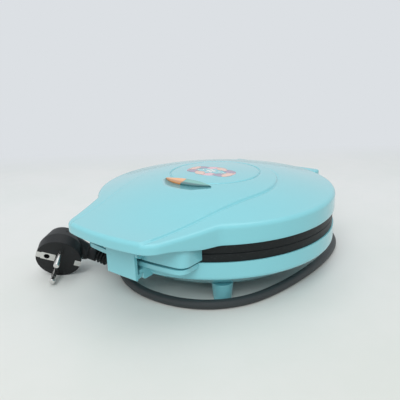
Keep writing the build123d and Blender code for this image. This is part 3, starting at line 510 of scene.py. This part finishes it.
def grip_plan(count):
    """Closed plan of the lid, evenly spaced: the round body's arc, a hollow arc at each root, the
    straight sides, the rounded corners and the bowed front, found as circles tangent to each other
    and then walked by length."""
    along = np.array([-math.sin(GRIP_LEAN), -math.cos(GRIP_LEAN)])
    out = np.array([math.cos(GRIP_LEAN), -math.sin(GRIP_LEAN)])
    root_off = GRIP_CORNER @ out + ROOT_RADIUS
    root = root_off * out + math.sqrt((LID_RADIUS + ROOT_RADIUS) ** 2 - root_off ** 2) * along
    sag = GRIP_REACH + GRIP_CORNER[1]
    bow = (GRIP_CORNER[0] ** 2 + sag ** 2) / (2 * sag)
    front = np.array([0.0, bow - GRIP_REACH])
    start = (GRIP_CORNER @ out - CORNER_RADIUS) * out - front
    ahead = along @ start
    run = -ahead + math.sqrt(ahead ** 2 - start @ start + (bow - CORNER_RADIUS) ** 2)
    turn = front + start + run * along
    to_turn = bearing_of(turn - front)
    half = np.concatenate([
        circle_points(np.zeros(2), LID_RADIUS, np.linspace(math.pi / 2, bearing_of(root), 400)),
        circle_points(root, ROOT_RADIUS, np.linspace(bearing_of(-root), bearing_of(-out), 40))[1:],
        circle_points(turn, CORNER_RADIUS, np.linspace(bearing_of(out), to_turn, 60)),
        circle_points(front, bow, np.linspace(to_turn, -math.pi / 2, 60))[1:],
    ])
    whole = np.concatenate([half, (half * [-1, 1])[::-1][1:-1]])
    closed = np.concatenate([whole, whole[:1]])
    length = np.concatenate([[0.0], np.cumsum(np.hypot(*np.diff(closed, axis=0).T))])
    at = np.linspace(0, length[-1], count, endpoint=False)
    return np.stack([np.interp(at, length, closed[:, k]) for k in (0, 1)], axis=1)


def moved_in(plan, distance):
    """A clockwise closed plan moved in along its own normals."""
    ahead = np.roll(plan, -1, axis=0) - np.roll(plan, 1, axis=0)
    ahead /= np.linalg.norm(ahead, axis=1, keepdims=True)
    return plan + distance * np.stack([ahead[:, 1], -ahead[:, 0]], axis=1)


def dome(radius):
    """Height at a plan radius: a sphere's cap, then a brim, itself a smaller sphere turned over,
    that levels out."""
    slope = math.asin(BRIM_START / DOME_SPHERE)
    brim_sphere = (BRIM_END - BRIM_START) / math.sin(slope)
    cap = DOME_TOP - DOME_SPHERE + np.sqrt(DOME_SPHERE ** 2 - np.minimum(radius, BRIM_START) ** 2)
    left = BRIM_END - np.clip(radius, BRIM_START, BRIM_END)
    brim = brim_sphere * math.cos(slope) - np.sqrt(brim_sphere ** 2 - left ** 2)
    return cap + np.where(radius > BRIM_START, brim, 0.0)


def inside_raised(x, y):
    """Distance in from the raised field's edge: from its circle behind, from the circle's two
    tangents in front."""
    side, ahead = np.abs(x), RAISED_CENTRE_Y - y
    c, w = math.cos(RAISED_TAPER), math.sin(RAISED_TAPER)
    from_line = RAISED_RADIUS - side * c - ahead * w
    from_circle = RAISED_RADIUS - np.hypot(side, ahead)
    return np.where(ahead * c > side * w, from_line, from_circle)


def lid_face(x, y, grooved=True):
    """Height of the lid's face: the dome, plus a soft step 3t^2 - 2t^3 up to the raised field, less
    a bell curve exp(-u^2) hollowed at the step's foot and less the ring's groove, a raised cosine
    across."""
    radius = np.hypot(x, y)
    inside = inside_raised(x, y)
    t = np.clip((inside - STEP_FROM) / STEP_ACROSS, 0.0, 1.0)
    foot = FOOT_DEPTH * np.exp(-((inside - FOOT_AT) / FOOT_WIDTH) ** 2)
    across = np.clip(np.abs(radius - RING_RADIUS) / (RING_WIDTH / 2), 0.0, 1.0)
    groove = RING_DEPTH * (0.5 + 0.5 * np.cos(math.pi * across)) if grooved else 0.0
    return dome(radius) + RAISED_STEP * t * t * (3 - 2 * t) - foot - groove


def skirt_edge(y):
    """Lower edge of the skirt: level, then a climb 3t^2 - 2t^3 under the grip."""
    t = np.clip((-y - RISE_START) / (RISE_END - RISE_START), 0.0, 1.0)
    return SKIRT_LOW + SKIRT_RISE * t * t * (3 - 2 * t)


def crease_shares(start, end):
    """For each spoke from start to end, the shares of its length where it crosses the distances in
    OVER_CREASE, found by interpolation between trials; a spoke that stays inside gets them by its
    rim."""
    trial = np.linspace(0.0, 1.0, TRIALS)
    x, y = (start[:, None, k] + (end - start)[:, None, k] * trial for k in (0, 1))
    inside = np.minimum.accumulate(inside_raised(x, y), axis=1)
    after = np.clip((inside[:, :, None] > OVER_CREASE).sum(axis=1), 1, TRIALS - 1)
    high, low = np.take_along_axis(inside, after - 1, 1), np.take_along_axis(inside, after, 1)
    part = np.clip((high - OVER_CREASE) / np.maximum(high - low, 1e-9), 0, 1)
    length = np.linalg.norm(end - start, axis=1)
    by_the_rim = LAST_SHARE - (OVER_CREASE - OVER_CREASE[-1]) / length[:, None]
    return np.minimum((after - 1 + part) / (TRIALS - 1), by_the_rim)


def lid_rings(count=600):
    """The lid's skin as closed rings: circles out past the groove, then spokes across the crease to
    the rim's rounding (a quarter circle), down the skirt, round its lower edge, up inside and back
    in under the face."""
    plan = grip_plan(count)
    rim = moved_in(plan, RIM_FILLET)
    lead = plan - SPOKE_POLE
    lead /= np.linalg.norm(lead, axis=1, keepdims=True)
    across = lead @ SPOKE_POLE
    reach = -across + np.sqrt(across * across - SPOKE_POLE @ SPOKE_POLE + LID_RADIUS ** 2)
    aim = SPOKE_POLE + reach[:, None] * lead
    aim /= np.linalg.norm(aim, axis=1, keepdims=True)
    rings = []

    def add(points, height):
        rings.append(at_height(points, height))

    def add_face(points, drop=0.0):
        add(points, lid_face(points[:, 0], points[:, 1]) - drop)

    for radius in CIRCLES:
        add_face(aim * radius)
    start = aim * CIRCLES[-1]
    crease = crease_shares(start, rim)
    stops = [crease[:, 0] * t for t in TO_CREASE] + list(crease.T)
    stops += [crease[:, -1] + (1 - crease[:, -1]) * t for t in TO_RIM]
    for share in stops:
        add_face(start + (rim - start) * share[:, None])
    for a in np.radians(np.arange(10, 91, 10)):
        add_face(moved_in(plan, RIM_FILLET * (1 - math.sin(a))), RIM_FILLET * (1 - math.cos(a)))
    top, low = rings[-1][:, 2], skirt_edge(plan[:, 1])
    for t in (0.25, 0.5, 0.75):
        add(plan, top + (low + OUTER_EDGE - top) * t)
    for a in np.radians([0, 30, 60, 90]):
        add(moved_in(plan, OUTER_EDGE * (1 - math.cos(a))), low + OUTER_EDGE * (1 - math.sin(a)))
    for a in np.radians([90, 45, 0]):
        inset = LID_WALL - INNER_EDGE + INNER_EDGE * math.cos(a)
        add(moved_in(plan, inset), low + INNER_EDGE * (1 - math.sin(a)))
    under = moved_in(plan, LID_WALL)
    ceiling = dome(np.hypot(*under.T)) - LID_WALL
    for t in (0.5, 1.0):
        add(under, low + INNER_EDGE + (ceiling - low - INNER_EDGE) * t)
    for t in (0.15, 0.3, 0.45, 0.6, 0.75, 0.9):
        p = under + (aim * INNERMOST - under) * t
        add(p, dome(np.hypot(*p.T)) - LID_WALL)
    return np.stack(rings)


# ---------------------------------------------------------------- hinge block, knuckles, posts

BLOCK_HALF, BLOCK_BACK, BLOCK_LOW, BLOCK_HIGH = 49.6, 112.3, 53.3, 67.0
BLOCK_CORNER, BLOCK_EDGE, BLOCK_SET_IN = 3.0, 1.5, 1.2
HINGE_Y, HINGE_Z = 107.0, 47.9
KNUCKLE_INNER, KNUCKLE_OUTER, KNUCKLE_REACH, KNUCKLE_TOP = 32.4, 44.0, 4.5, BLOCK_HIGH - 0.8
KNUCKLE_BORE, KNUCKLE_BEVEL = 2.05, 0.4
POST_RADIUS, POST_BORE, POST_AROUND = 4.0, 1.55, 32
PLATE_POSTS = [(60.0 * math.cos(a), 60.0 * math.sin(a), 70.8) for a in np.radians([90, 210, 330])]
LINER_POSTS = [(-34.0, -118.5, 61.4), (34.0, -118.5, 61.4)]


def hinge_block_plan(inset):
    """Plan of the block behind the lid, moved in: its straight back with two rounded corners from
    left to right, then the arc inside the round wall from right to left."""
    half, back, wall = BLOCK_HALF - inset, BLOCK_BACK - inset, LID_RADIUS - BLOCK_SET_IN
    centre = np.array([-half + BLOCK_CORNER, back - BLOCK_CORNER])
    turn = circle_points(centre, BLOCK_CORNER, np.linspace(math.pi, math.pi / 2, 10))
    left = np.concatenate([[[-half, math.sqrt(wall ** 2 - half ** 2)]], turn, [[-half / 2, back]]])
    outer = np.concatenate([left, [[0, back]], left[::-1] * [-1, 1]])
    x = outer[::-1, 0]
    return np.concatenate([outer, np.column_stack([x, np.sqrt(wall ** 2 - x ** 2)])])


def build_hinge_block():
    """Hollow block behind the lid: its plan carried round a section, rounded above and open below.
    Each entry of the section is the distance in and the height."""
    low, high, wall, soft = BLOCK_LOW, BLOCK_HIGH, LID_WALL, BLOCK_EDGE
    turn = np.radians(np.arange(0, 91, 15))
    section = [(soft * (1 - math.sin(a)), high - soft * (1 - math.cos(a))) for a in turn]
    section += [(0.0, low + 0.5), (0.15, low + 0.15), (0.5, low)]
    section += [(wall - 0.3, low), (wall, low + 0.3), (wall, high - wall)]
    rings = np.stack([at_height(hinge_block_plan(inset), z) for inset, z in section])
    finish_piece(banded_solid("lid_hinge_block", rings), "shell_plastic", "lid")


def build_knuckles():
    """Two bored arms round the hinge pins: the outline, seen from the pin's middle at angle a, is a
    half circle below and a box above, and a section with bevelled corners carries it along X and
    back through the bore."""
    reach, top, bevel = KNUCKLE_REACH, KNUCKLE_TOP - HINGE_Z, KNUCKLE_BEVEL
    corner = math.atan2(top, reach)
    a = np.concatenate([
        np.linspace(-math.pi, 0, 25),
        np.linspace(0, corner, 8)[1:],
        np.linspace(corner, math.pi - corner, 7)[1:],
        np.linspace(math.pi - corner, math.pi, 8)[1:-1],
    ])
    sideways, upwards = np.maximum(np.abs(np.cos(a)), 1e-6), np.maximum(np.sin(a), 1e-6)
    away = np.where(a <= 0, reach, np.minimum(reach / sideways, top / upwards))
    inner, outer, bore = KNUCKLE_INNER, KNUCKLE_OUTER, KNUCKLE_BORE
    section = ((inner + bevel, away), (outer - bevel, away), (outer, away - bevel), (outer, bore),
               (inner, bore), (inner, away - bevel))
    for name, side in (("lid_knuckle_left", -1), ("lid_knuckle_right", 1)):
        rings = [
            np.column_stack([
                np.full(len(a), side * x), HINGE_Y + size * np.cos(a), HINGE_Z + size * np.sin(a)])
            for x, size in section]
        faces = ring_quads(len(rings), len(a), wrap=True)
        piece = mesh_piece(name, np.concatenate(rings), [faces], smooth=False)
        make_outward(piece)
        finish_piece(piece, "shell_plastic", "lid")


def build_bosses():
    """Five bored posts under the lid's face, for the plate's and the liner's screws: circles
    carried round a square section."""
    a = np.linspace(0, 2 * math.pi, POST_AROUND, endpoint=False)
    points, faces = [], []
    for x, y, low in PLATE_POSTS + LINER_POSTS:
        high = float(dome(np.array(math.hypot(x, y)))) - LID_WALL / 2
        post, bore = POST_RADIUS, POST_BORE
        for size, z in ((post, low), (post, high), (bore, high), (bore, low)):
            points.append(at_height(circle_points(np.array([x, y]), size, a), z))
        faces.append(ring_quads(4, POST_AROUND, wrap=True) + 4 * POST_AROUND * len(faces))
    piece = mesh_piece("lid_bosses", np.concatenate(points), faces, smooth=False)
    make_outward(piece)
    finish_piece(piece, "shell_plastic", "lid")


# ---------------------------------------------------------------- lenses

LENS_Y, LENS_HALF, LENS_BACK, LENS_FRONT = -39.0, 24.5, 3.6, 8.0    # the leaf that both fill
LENS_PROUD, LENS_SOFT, LENS_GAP = 1.0, 0.8, 0.2
SPLIT_BACK, SPLIT_FRONT, SPLIT_GAP = -3.5, -1.5, 0.1    # x of the line between them, half its gap
FRONT_PAINTED_SHADE, PAINTED_SHADE_FROM, PAINTED_SHADE_ACROSS = 0.9, 0.52, 0.22    # painted shade in a band along each lens's front
CUTTER_LOW, CUTTER_HIGH = 60.0, 95.0


def leaf_edge(x, wall=0.0):
    """Back and front edges of the leaf of lenses at x: arcs through its two pointed ends."""
    half = LENS_HALF + wall
    edges = []
    for bulge in (LENS_BACK + wall, -LENS_FRONT - wall):
        radius = (half ** 2 + bulge ** 2) / (2 * abs(bulge))
        chord = np.maximum(radius ** 2 - np.minimum(np.abs(x), half) ** 2, 0)
        rise = np.sqrt(chord) - (radius - abs(bulge))
        edges.append(LENS_Y + math.copysign(1, bulge) * np.maximum(rise, 0.0))
    return edges


def cut_lens_opening(skin):
    """Takes the leaf's opening out of the lid's skin with a prism that has the leaf's plan."""
    x = np.linspace(-LENS_HALF - LENS_GAP, LENS_HALF + LENS_GAP, 61)
    back, front = leaf_edge(x, LENS_GAP)
    loop = np.concatenate([np.column_stack([x, back]), np.column_stack([x, front])[::-1][1:-1]])
    n = len(loop)
    points = np.concatenate([at_height(loop, z) for z in (CUTTER_LOW, CUTTER_HIGH)])
    i = np.arange(n)
    sides = np.stack([i, i + n, (i + 1) % n + n, (i + 1) % n], -1)
    faces = [sides, i[None, :], (i[::-1] + n)[None, :]]
    cutter = mesh_piece("leaf_cutter", points, faces, smooth=False)
    cut = skin.modifiers.new("leaf_opening", "BOOLEAN")
    cut.operation, cut.solver, cut.object = "DIFFERENCE", "EXACT", cutter
    apply_modifiers(skin)
    bpy.data.objects.remove(cutter)


def build_lens(name, side, slot, node):
    """One lens of the pair, from its pointed end to the split line: a grid whose rows run from the
    leaf's back edge to its front edge, closer together by the edges; it stands LENS_PROUD over the
    lid's face, its edge rounded by a quarter circle, and its walls go down through the opening. A
    painted shade is held in an attribute: 1 on the walls, rising over the rounded edge, 0.9 in a band
    along the front, painted where less light comes through, and 0 on top."""
    t = np.sin(np.linspace(0.0, math.pi / 2, 49))[:, None]
    v = (0.5 - 0.5 * np.cos(np.linspace(0.0, math.pi, 25)))[None, :]
    tip = side * LENS_HALF
    stop = SPLIT_BACK + (SPLIT_FRONT - SPLIT_BACK) * v + side * SPLIT_GAP
    x = tip + (stop - tip) * t
    back, front = leaf_edge(x)
    y = back + (front - back) * v
    from_edges = np.minimum(back - y, y - front)
    from_ends = np.minimum(np.abs(tip - x), np.abs(x - stop) + 0.5)
    inset = np.minimum(from_edges, from_ends)
    soft = np.clip(1.0 - inset / LENS_SOFT, 0.0, 1.0)
    face = lid_face(x, y, grooved=False)
    top = face + LENS_PROUD - LENS_SOFT * (1 - np.sqrt(1 - soft ** 2))
    upper = np.stack([x, y, top], -1).reshape(-1, 3)
    lower = np.stack([x, y, face - LID_WALL - 0.1], -1).reshape(-1, 3)

    rows, across = x.shape
    n = rows * across
    i, j = np.meshgrid(np.arange(rows - 1), np.arange(across - 1), indexing="ij")
    first, second = i * across + j, (i + 1) * across + j
    cover = np.stack([first, first + 1, second + 1, second], -1).reshape(-1, 4)
    rim = np.concatenate([
        np.arange(across), np.arange(1, rows) * across + across - 1,
        (rows - 1) * across + np.arange(across - 2, -1, -1), np.arange(rows - 2, 0, -1) * across])
    after = np.roll(rim, -1)
    wall = np.stack([rim, after, after + n, rim + n], -1)
    faces = [cover, cover[:, ::-1] + n, wall[:, ::-1]]
    piece = mesh_piece(name, np.concatenate([upper, lower]), faces)

    # Painted shade: darker in a band along the front, over the rounded edges and on the walls.
    painted_front_shade = np.clip((v - PAINTED_SHADE_FROM) / PAINTED_SHADE_ACROSS, 0, 1) * FRONT_PAINTED_SHADE
    edge = np.maximum(soft ** 2, painted_front_shade).reshape(-1)
    shade = piece.data.attributes.new("painted_lens_shade", "FLOAT", "POINT")
    shade.data.foreach_set("value", np.concatenate([edge, np.ones(n)]).astype(np.float32))
    make_outward(piece)
    finish_piece(piece, slot, "lid", node)


def build_lid():
    middle_above, middle_below = (0, 0, DOME_TOP + RAISED_STEP), (0, 0, DOME_TOP - LID_WALL)
    skin = closed_skin("lid_shell", lid_rings(), middle_above, middle_below)
    cut_lens_opening(skin)
    finish_piece(skin, "shell_plastic", "lid", "lid_housing")
    build_hinge_block()
    build_knuckles()
    build_bosses()
    build_lens("power_lens_cover", -1, "orange_lens", "power_lens")
    build_lens("ready_lens_cover", 1, "green_lens", "ready_lens")


# ---------------------------------------------------------------- badge

PRINT_THICKNESS = 0.05          # each colour also lies this much over the one before
BADGE_MIDDLE, BADGE_LONG, BADGE_SHORT, BADGE_PETALS = np.array([-0.5, -5.5]), 21.0, 10.5, 12


def thin_motif(name, outlines, lift):
    """Flat printed shapes that follow the lid's face: each outline is a loop about a middle point,
    set as a fan of rings on the face's height plus a hair, and closed below."""
    points, faces, base = [], [], 0
    for loop, middle in outlines:
        n = len(loop)
        rings = [middle + (loop - middle) * share for share in (0.35, 0.7, 1.0)]
        plan = np.concatenate([[middle], *rings])
        height = lid_face(plan[:, 0], plan[:, 1], grooved=False)
        points += [at_height(plan, height + lift), at_height(plan, height + lift - PRINT_THICKNESS)]
        i = np.arange(n)
        k = (i + 1) % n
        below = len(plan)
        fan = np.stack([np.zeros(n, int), 1 + i, 1 + k], -1)
        bands = ring_quads(3, n) + 1
        edge = 1 + 2 * n
        rim = np.stack([edge + i, edge + i + below, edge + k + below, edge + k], -1)
        faces += [fan + base, bands + base]
        faces += [fan[:, ::-1] + base + below, bands[:, ::-1] + base + below, rim + base]
        base += 2 * below
    piece = mesh_piece(name, np.concatenate(points), faces)
    make_outward(piece)
    return piece


def petal(centre, length, width, heading, bend=0.0, count=28):
    """A petal's loop and its middle: x runs along it, y is width/2 times sin(pi t)^0.75 either
    side, and the middle line bends as a parabola."""
    t = np.linspace(0.0, 1.0, count // 2 + 1)
    along = (t - 0.5) * length
    half = 0.5 * width * np.sin(math.pi * t) ** 0.75
    spine = bend * (1 - (2 * t - 1) ** 2)
    up = np.column_stack([along, spine + half])
    down = np.column_stack([along, spine - half])[::-1][1:-1]
    c, w = math.cos(heading), math.sin(heading)
    turned = np.concatenate([up, down]) @ np.array([[c, w], [-w, c]])
    return turned + centre, np.array(centre) + np.array([-w, c]) * bend * 0.6


def build_badge():
    """A printed wreath of broad petals in three soft colours round a small pale blossom with seeds
    either side."""
    kinds = {"badge_rose": [], "badge_mauve": [], "badge_sand": []}
    names = list(kinds)
    for i in range(BADGE_PETALS):
        a = 2 * math.pi * (i + 0.5) / BADGE_PETALS
        place = BADGE_MIDDLE + np.array([BADGE_LONG * math.cos(a), BADGE_SHORT * math.sin(a)])
        tangent = math.atan2(BADGE_SHORT * math.cos(a), -BADGE_LONG * math.sin(a))
        heading = tangent + (0.3 if i % 2 else -0.3)
        kinds[names[i % 3]].append(petal(place, length=14.5, width=8.2, heading=heading, bend=0.9))
    for level, (name, petals) in enumerate(kinds.items()):
        lift = PRINT_THICKNESS + PRINT_THICKNESS * level
        finish_piece(thin_motif(name, petals, lift), name, "lid")
    pale = []
    for a in 2 * math.pi * np.arange(6) / 6:
        place = BADGE_MIDDLE + 3.1 * np.array([math.cos(a), math.sin(a)])
        pale.append(petal(place, length=5.2, width=2.9, heading=a))
    for i in (-3, -2, 2, 3):
        place = BADGE_MIDDLE + np.array([4.4 * i, 0.8 * (-1) ** i])
        pale.append(petal(place, length=3.4, width=1.9, heading=0.4 * i))
    finish_piece(thin_motif("badge_blossom", pale, 2 * PRINT_THICKNESS), "badge_pale", "lid")


# ---------------------------------------------------------------- cord and plug

CORD_ROUTE = np.array([
    (-86.95, -94.62, 20.84), (-69.3, -80.8, 14.1), (-47.0, -79.6, 8.6), (-26.3, -90.6, 4.0),
    (0.0, -96.5, 3.7), (30.0, -93.5, 3.7), (56.0, -80.5, 3.7), (75.0, -56.0, 3.7),
    (84.0, -20.0, 3.7), (87.5, 16.0, 3.7), (87.0, 52.0, 3.7), (80.0, 84.0, 3.7),
    (64.0, 108.0, 3.7), (38.0, 124.0, 3.7), (8.0, 132.0, 3.7), (-26.0, 133.0, 3.7),
    (-59.0, 136.0, 3.7), (-89.0, 146.0, 3.7), (-114.0, 165.0, 3.7), (-124.0, 195.0, 3.7),
    (-111.0, 225.0, 3.7), (-81.0, 238.0, 5.5), (-50.0, 229.0, 12.0), (-36.0, 201.0, 22.0),
    (-34.0, 158.0, 31.0), (-34.0, 98.8, 31.0),
])
CORD_RADIUS = 0.0037            # metres

# The relief by distance along the cord: (distance, radius) for its stout start, then where each
# rib begins, and where the core ends.
RELIEF_START = [(11.4, 5.4), (11.8, 5.9), (16.0, 6.2), (20.0, 6.3), (20.3, 6.0)]
RIB_STARTS, RELIEF_END, RELIEF_AROUND = (22.7, 26.0, 29.3), 32.2, 40
RIB_WIDTH, RIB_RADIUS, RIB_GAP, CORE_RADIUS = 0.9, 6.4, 2.4, 3.9
RIB_BEVEL_DEPTH, RIB_BEVEL_WIDTH = 0.3, 0.2


def build_plug_relief():
    """Ribbed sleeve on the cord at the plug. Its centre line is the cord's own first span, the
    parabola (1-t)^2 P0 + 2t(1-t) P1 + t^2 (P1+P2)/2, and each ring's radius comes from its distance
    along it: a stout start, then thin ribs with bevelled edges on a core."""
    first, bend, last = CORD_ROUTE[0], CORD_ROUTE[1], (CORD_ROUTE[1] + CORD_ROUTE[2]) / 2
    t = np.linspace(0.0, 1.0, 400)[:, None]
    line = (1 - t) ** 2 * first + 2 * t * (1 - t) * bend + t ** 2 * last
    run = np.concatenate([[0.0], np.cumsum(np.linalg.norm(np.diff(line, axis=0), axis=1))])

    def at(distance):
        return np.array([np.interp(distance, run, line[:, k]) for k in range(3)])

    stops = list(RELIEF_START)
    shoulder = RIB_RADIUS - RIB_BEVEL_DEPTH
    for rib in RIB_STARTS:
        stops += [
            (rib - RIB_GAP, CORE_RADIUS), (rib, CORE_RADIUS), (rib, shoulder),
            (rib + RIB_BEVEL_WIDTH, RIB_RADIUS), (rib + RIB_WIDTH - RIB_BEVEL_WIDTH, RIB_RADIUS),
            (rib + RIB_WIDTH, shoulder)]
    stops += [(RIB_STARTS[-1] + RIB_WIDTH, CORE_RADIUS), (RELIEF_END, CORE_RADIUS)]
    a = np.linspace(0.0, 2 * math.pi, RELIEF_AROUND, endpoint=False)[:, None]
    rings = []
    for distance, radius in stops:
        along = at(distance + 0.2) - at(distance - 0.2)
        along /= np.linalg.norm(along)
        side = np.cross(along, (0.0, 0.0, 1.0))
        side /= np.linalg.norm(side)
        rings.append(at(distance) + radius * (np.cos(a) * side + np.sin(a) * np.cross(side, along)))
    start = np.arange(RELIEF_AROUND)[None, :]
    end = start + (len(rings) - 1) * RELIEF_AROUND
    faces = [ring_quads(len(rings), RELIEF_AROUND), start, end]
    piece = mesh_piece("plug_relief", np.concatenate(rings), faces)
    make_outward(piece)
    return finish_piece(piece, "plug_plastic", "base", "plug_strain_relief")


def lay_cord(relief_piece):
    """The mains cord: one smooth spline led by the route's points, a round section along it."""
    curve = bpy.data.curves.new("cord_sheath", "CURVE")
    curve.dimensions = "3D"
    curve.resolution_u = 12
    curve.bevel_depth = CORD_RADIUS
    curve.bevel_resolution = 6
    curve.use_fill_caps = True
    spline = curve.splines.new("NURBS")
    spline.points.add(len(CORD_ROUTE) - 1)
    flat = np.concatenate([on_plan(CORD_ROUTE), np.ones((len(CORD_ROUTE), 1))], axis=1)
    spline.points.foreach_set("co", flat.ravel())
    spline.order_u = 3
    spline.use_endpoint_u = True
    cord = bpy.data.objects.new("cord_sheath", curve)
    bpy.context.scene.collection.objects.link(cord)
    curve.materials.append(finishes["cord_rubber"].material)
    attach(cord, "base")
    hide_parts("mains_cord")


# ---------------------------------------------------------------- stage and light
# Measures are metres again.

WALL = (0.716, 0.745, 0.776)
FLOOR_PAINTED_SHADE_NEAR = (0.652, 0.666, 0.636), (0.624, 0.648, 0.612)       # the board's two tones in front, darker and greener: painted shade
FLOOR_PAINTED_LIGHT_BEHIND = (0.745, 0.760, 0.755), (0.715, 0.742, 0.730)     # and behind the object, paler: painted light
FLOOR_HALF = 6
LAMP_TARGET = (0.0, 0.0, 0.05)


def build_floor_finish():
    """Pale matt board with painted shade: darker and greener in front of the object, paler behind it,
    up to a line behind it, past which it looks to the camera as the plain pale wall."""
    finish = Finish("pale_board", (0.69, 0.735, 0.72), 0.5)
    tree = finish.tree
    cloud = remap(tree, noise(tree, finish.place, 7.0, 5.0, 0.62), 0.40, 0.62)
    finish.link(remap(tree, noise(tree, finish.place, 26.0), 0.3, 0.7, 0.42, 0.58), "Roughness")
    turn = tree.nodes.new("ShaderNodeMapping")
    turn.inputs["Rotation"].default_value = (0.0, 0.0, -CAMERA_BEARING)
    tree.links.new(finish.place, turn.inputs["Vector"])
    split = tree.nodes.new("ShaderNodeSeparateXYZ")
    tree.links.new(turn.outputs["Vector"], split.inputs[0])
    away = split.outputs["Y"]
    near, behind = mix_colours(tree, cloud, *FLOOR_PAINTED_SHADE_NEAR), mix_colours(tree, cloud, *FLOOR_PAINTED_LIGHT_BEHIND)
    # Painted shade: the board grows darker and greener from behind the object to in front of it.
    finish.link(mix_colours(tree, remap(tree, away, -0.22, 0.20), near, behind), "Base Color")
    path = tree.nodes.new("ShaderNodeLightPath")
    seen = math_node(tree, "MULTIPLY", remap(tree, away, 0.36, 0.50), path.outputs["Is Camera Ray"])
    glow = tree.nodes.new("ShaderNodeEmission")
    glow.inputs["Color"].default_value = (*WALL, 1.0)
    mix_shaders(tree, seen, finish.shader, glow, "Material Output")
    return finish.material


def build_stage():
    """A broad pale floor."""
    h = FLOOR_HALF
    floor = bpy.data.meshes.new("floor")
    floor.from_pydata([(-h, -h, 0), (h, -h, 0), (h, h, 0), (-h, h, 0)], [], [(0, 1, 2, 3)])
    floor.materials.append(build_floor_finish())
    piece = bpy.data.objects.new("floor", floor)
    bpy.context.scene.collection.objects.link(piece)


def lamp(name, place, size, power, mirrored=True):
    """A broad lamp that faces the object; unless mirrored, glossy surfaces don't show it."""
    light = bpy.data.lights.new(name, "AREA")
    light.shape = "RECTANGLE"
    light.size, light.size_y = size
    light.energy = power
    holder = bpy.data.objects.new(name, light)
    away = Vector(place) - Vector(LAMP_TARGET)
    turn = away.to_track_quat("Z", "Y").to_matrix().to_4x4()
    holder.matrix_world = Matrix.Translation(place) @ turn
    holder.visible_glossy = mirrored
    bpy.context.scene.collection.objects.link(holder)


def light_studio():
    """A lamp overhead, one high in front and a pale world that fills the shade; the camera and
    mirrors see the wall's colour in its place."""
    lamp("overhead", (0.0, 0.0, 1.4), (1.3, 1.3), 5.0)
    lamp("front", (0.62, -1.15, 1.25), (1.1, 0.8), 18.5, mirrored=False)
    world = bpy.data.worlds.new("studio")
    world.use_nodes = True
    tree = world.node_tree
    fill = tree.nodes["Background"]
    fill.inputs["Color"].default_value = (0.91, 0.93, 0.95, 1.0)
    fill.inputs["Strength"].default_value = 0.61
    wall = tree.nodes.new("ShaderNodeBackground")
    wall.inputs["Color"].default_value = (*WALL, 1.0)
    path = tree.nodes.new("ShaderNodeLightPath").outputs
    mirrored = math_node(tree, "MAXIMUM", path["Is Glossy Ray"], path["Is Transmission Ray"])
    seen = math_node(tree, "MAXIMUM", mirrored, path["Is Camera Ray"])
    mix_shaders(tree, seen, fill, wall, "World Output")
    bpy.context.scene.world = world


# ---------------------------------------------------------------- the scene

place_camera()
lay_cord(build_plug_relief())
dress_cad_nodes()
build_lid()
build_badge()
build_stage()
light_studio()
bpy.context.scene.view_settings.view_transform = "Standard"

bpy.context.view_layer.update()
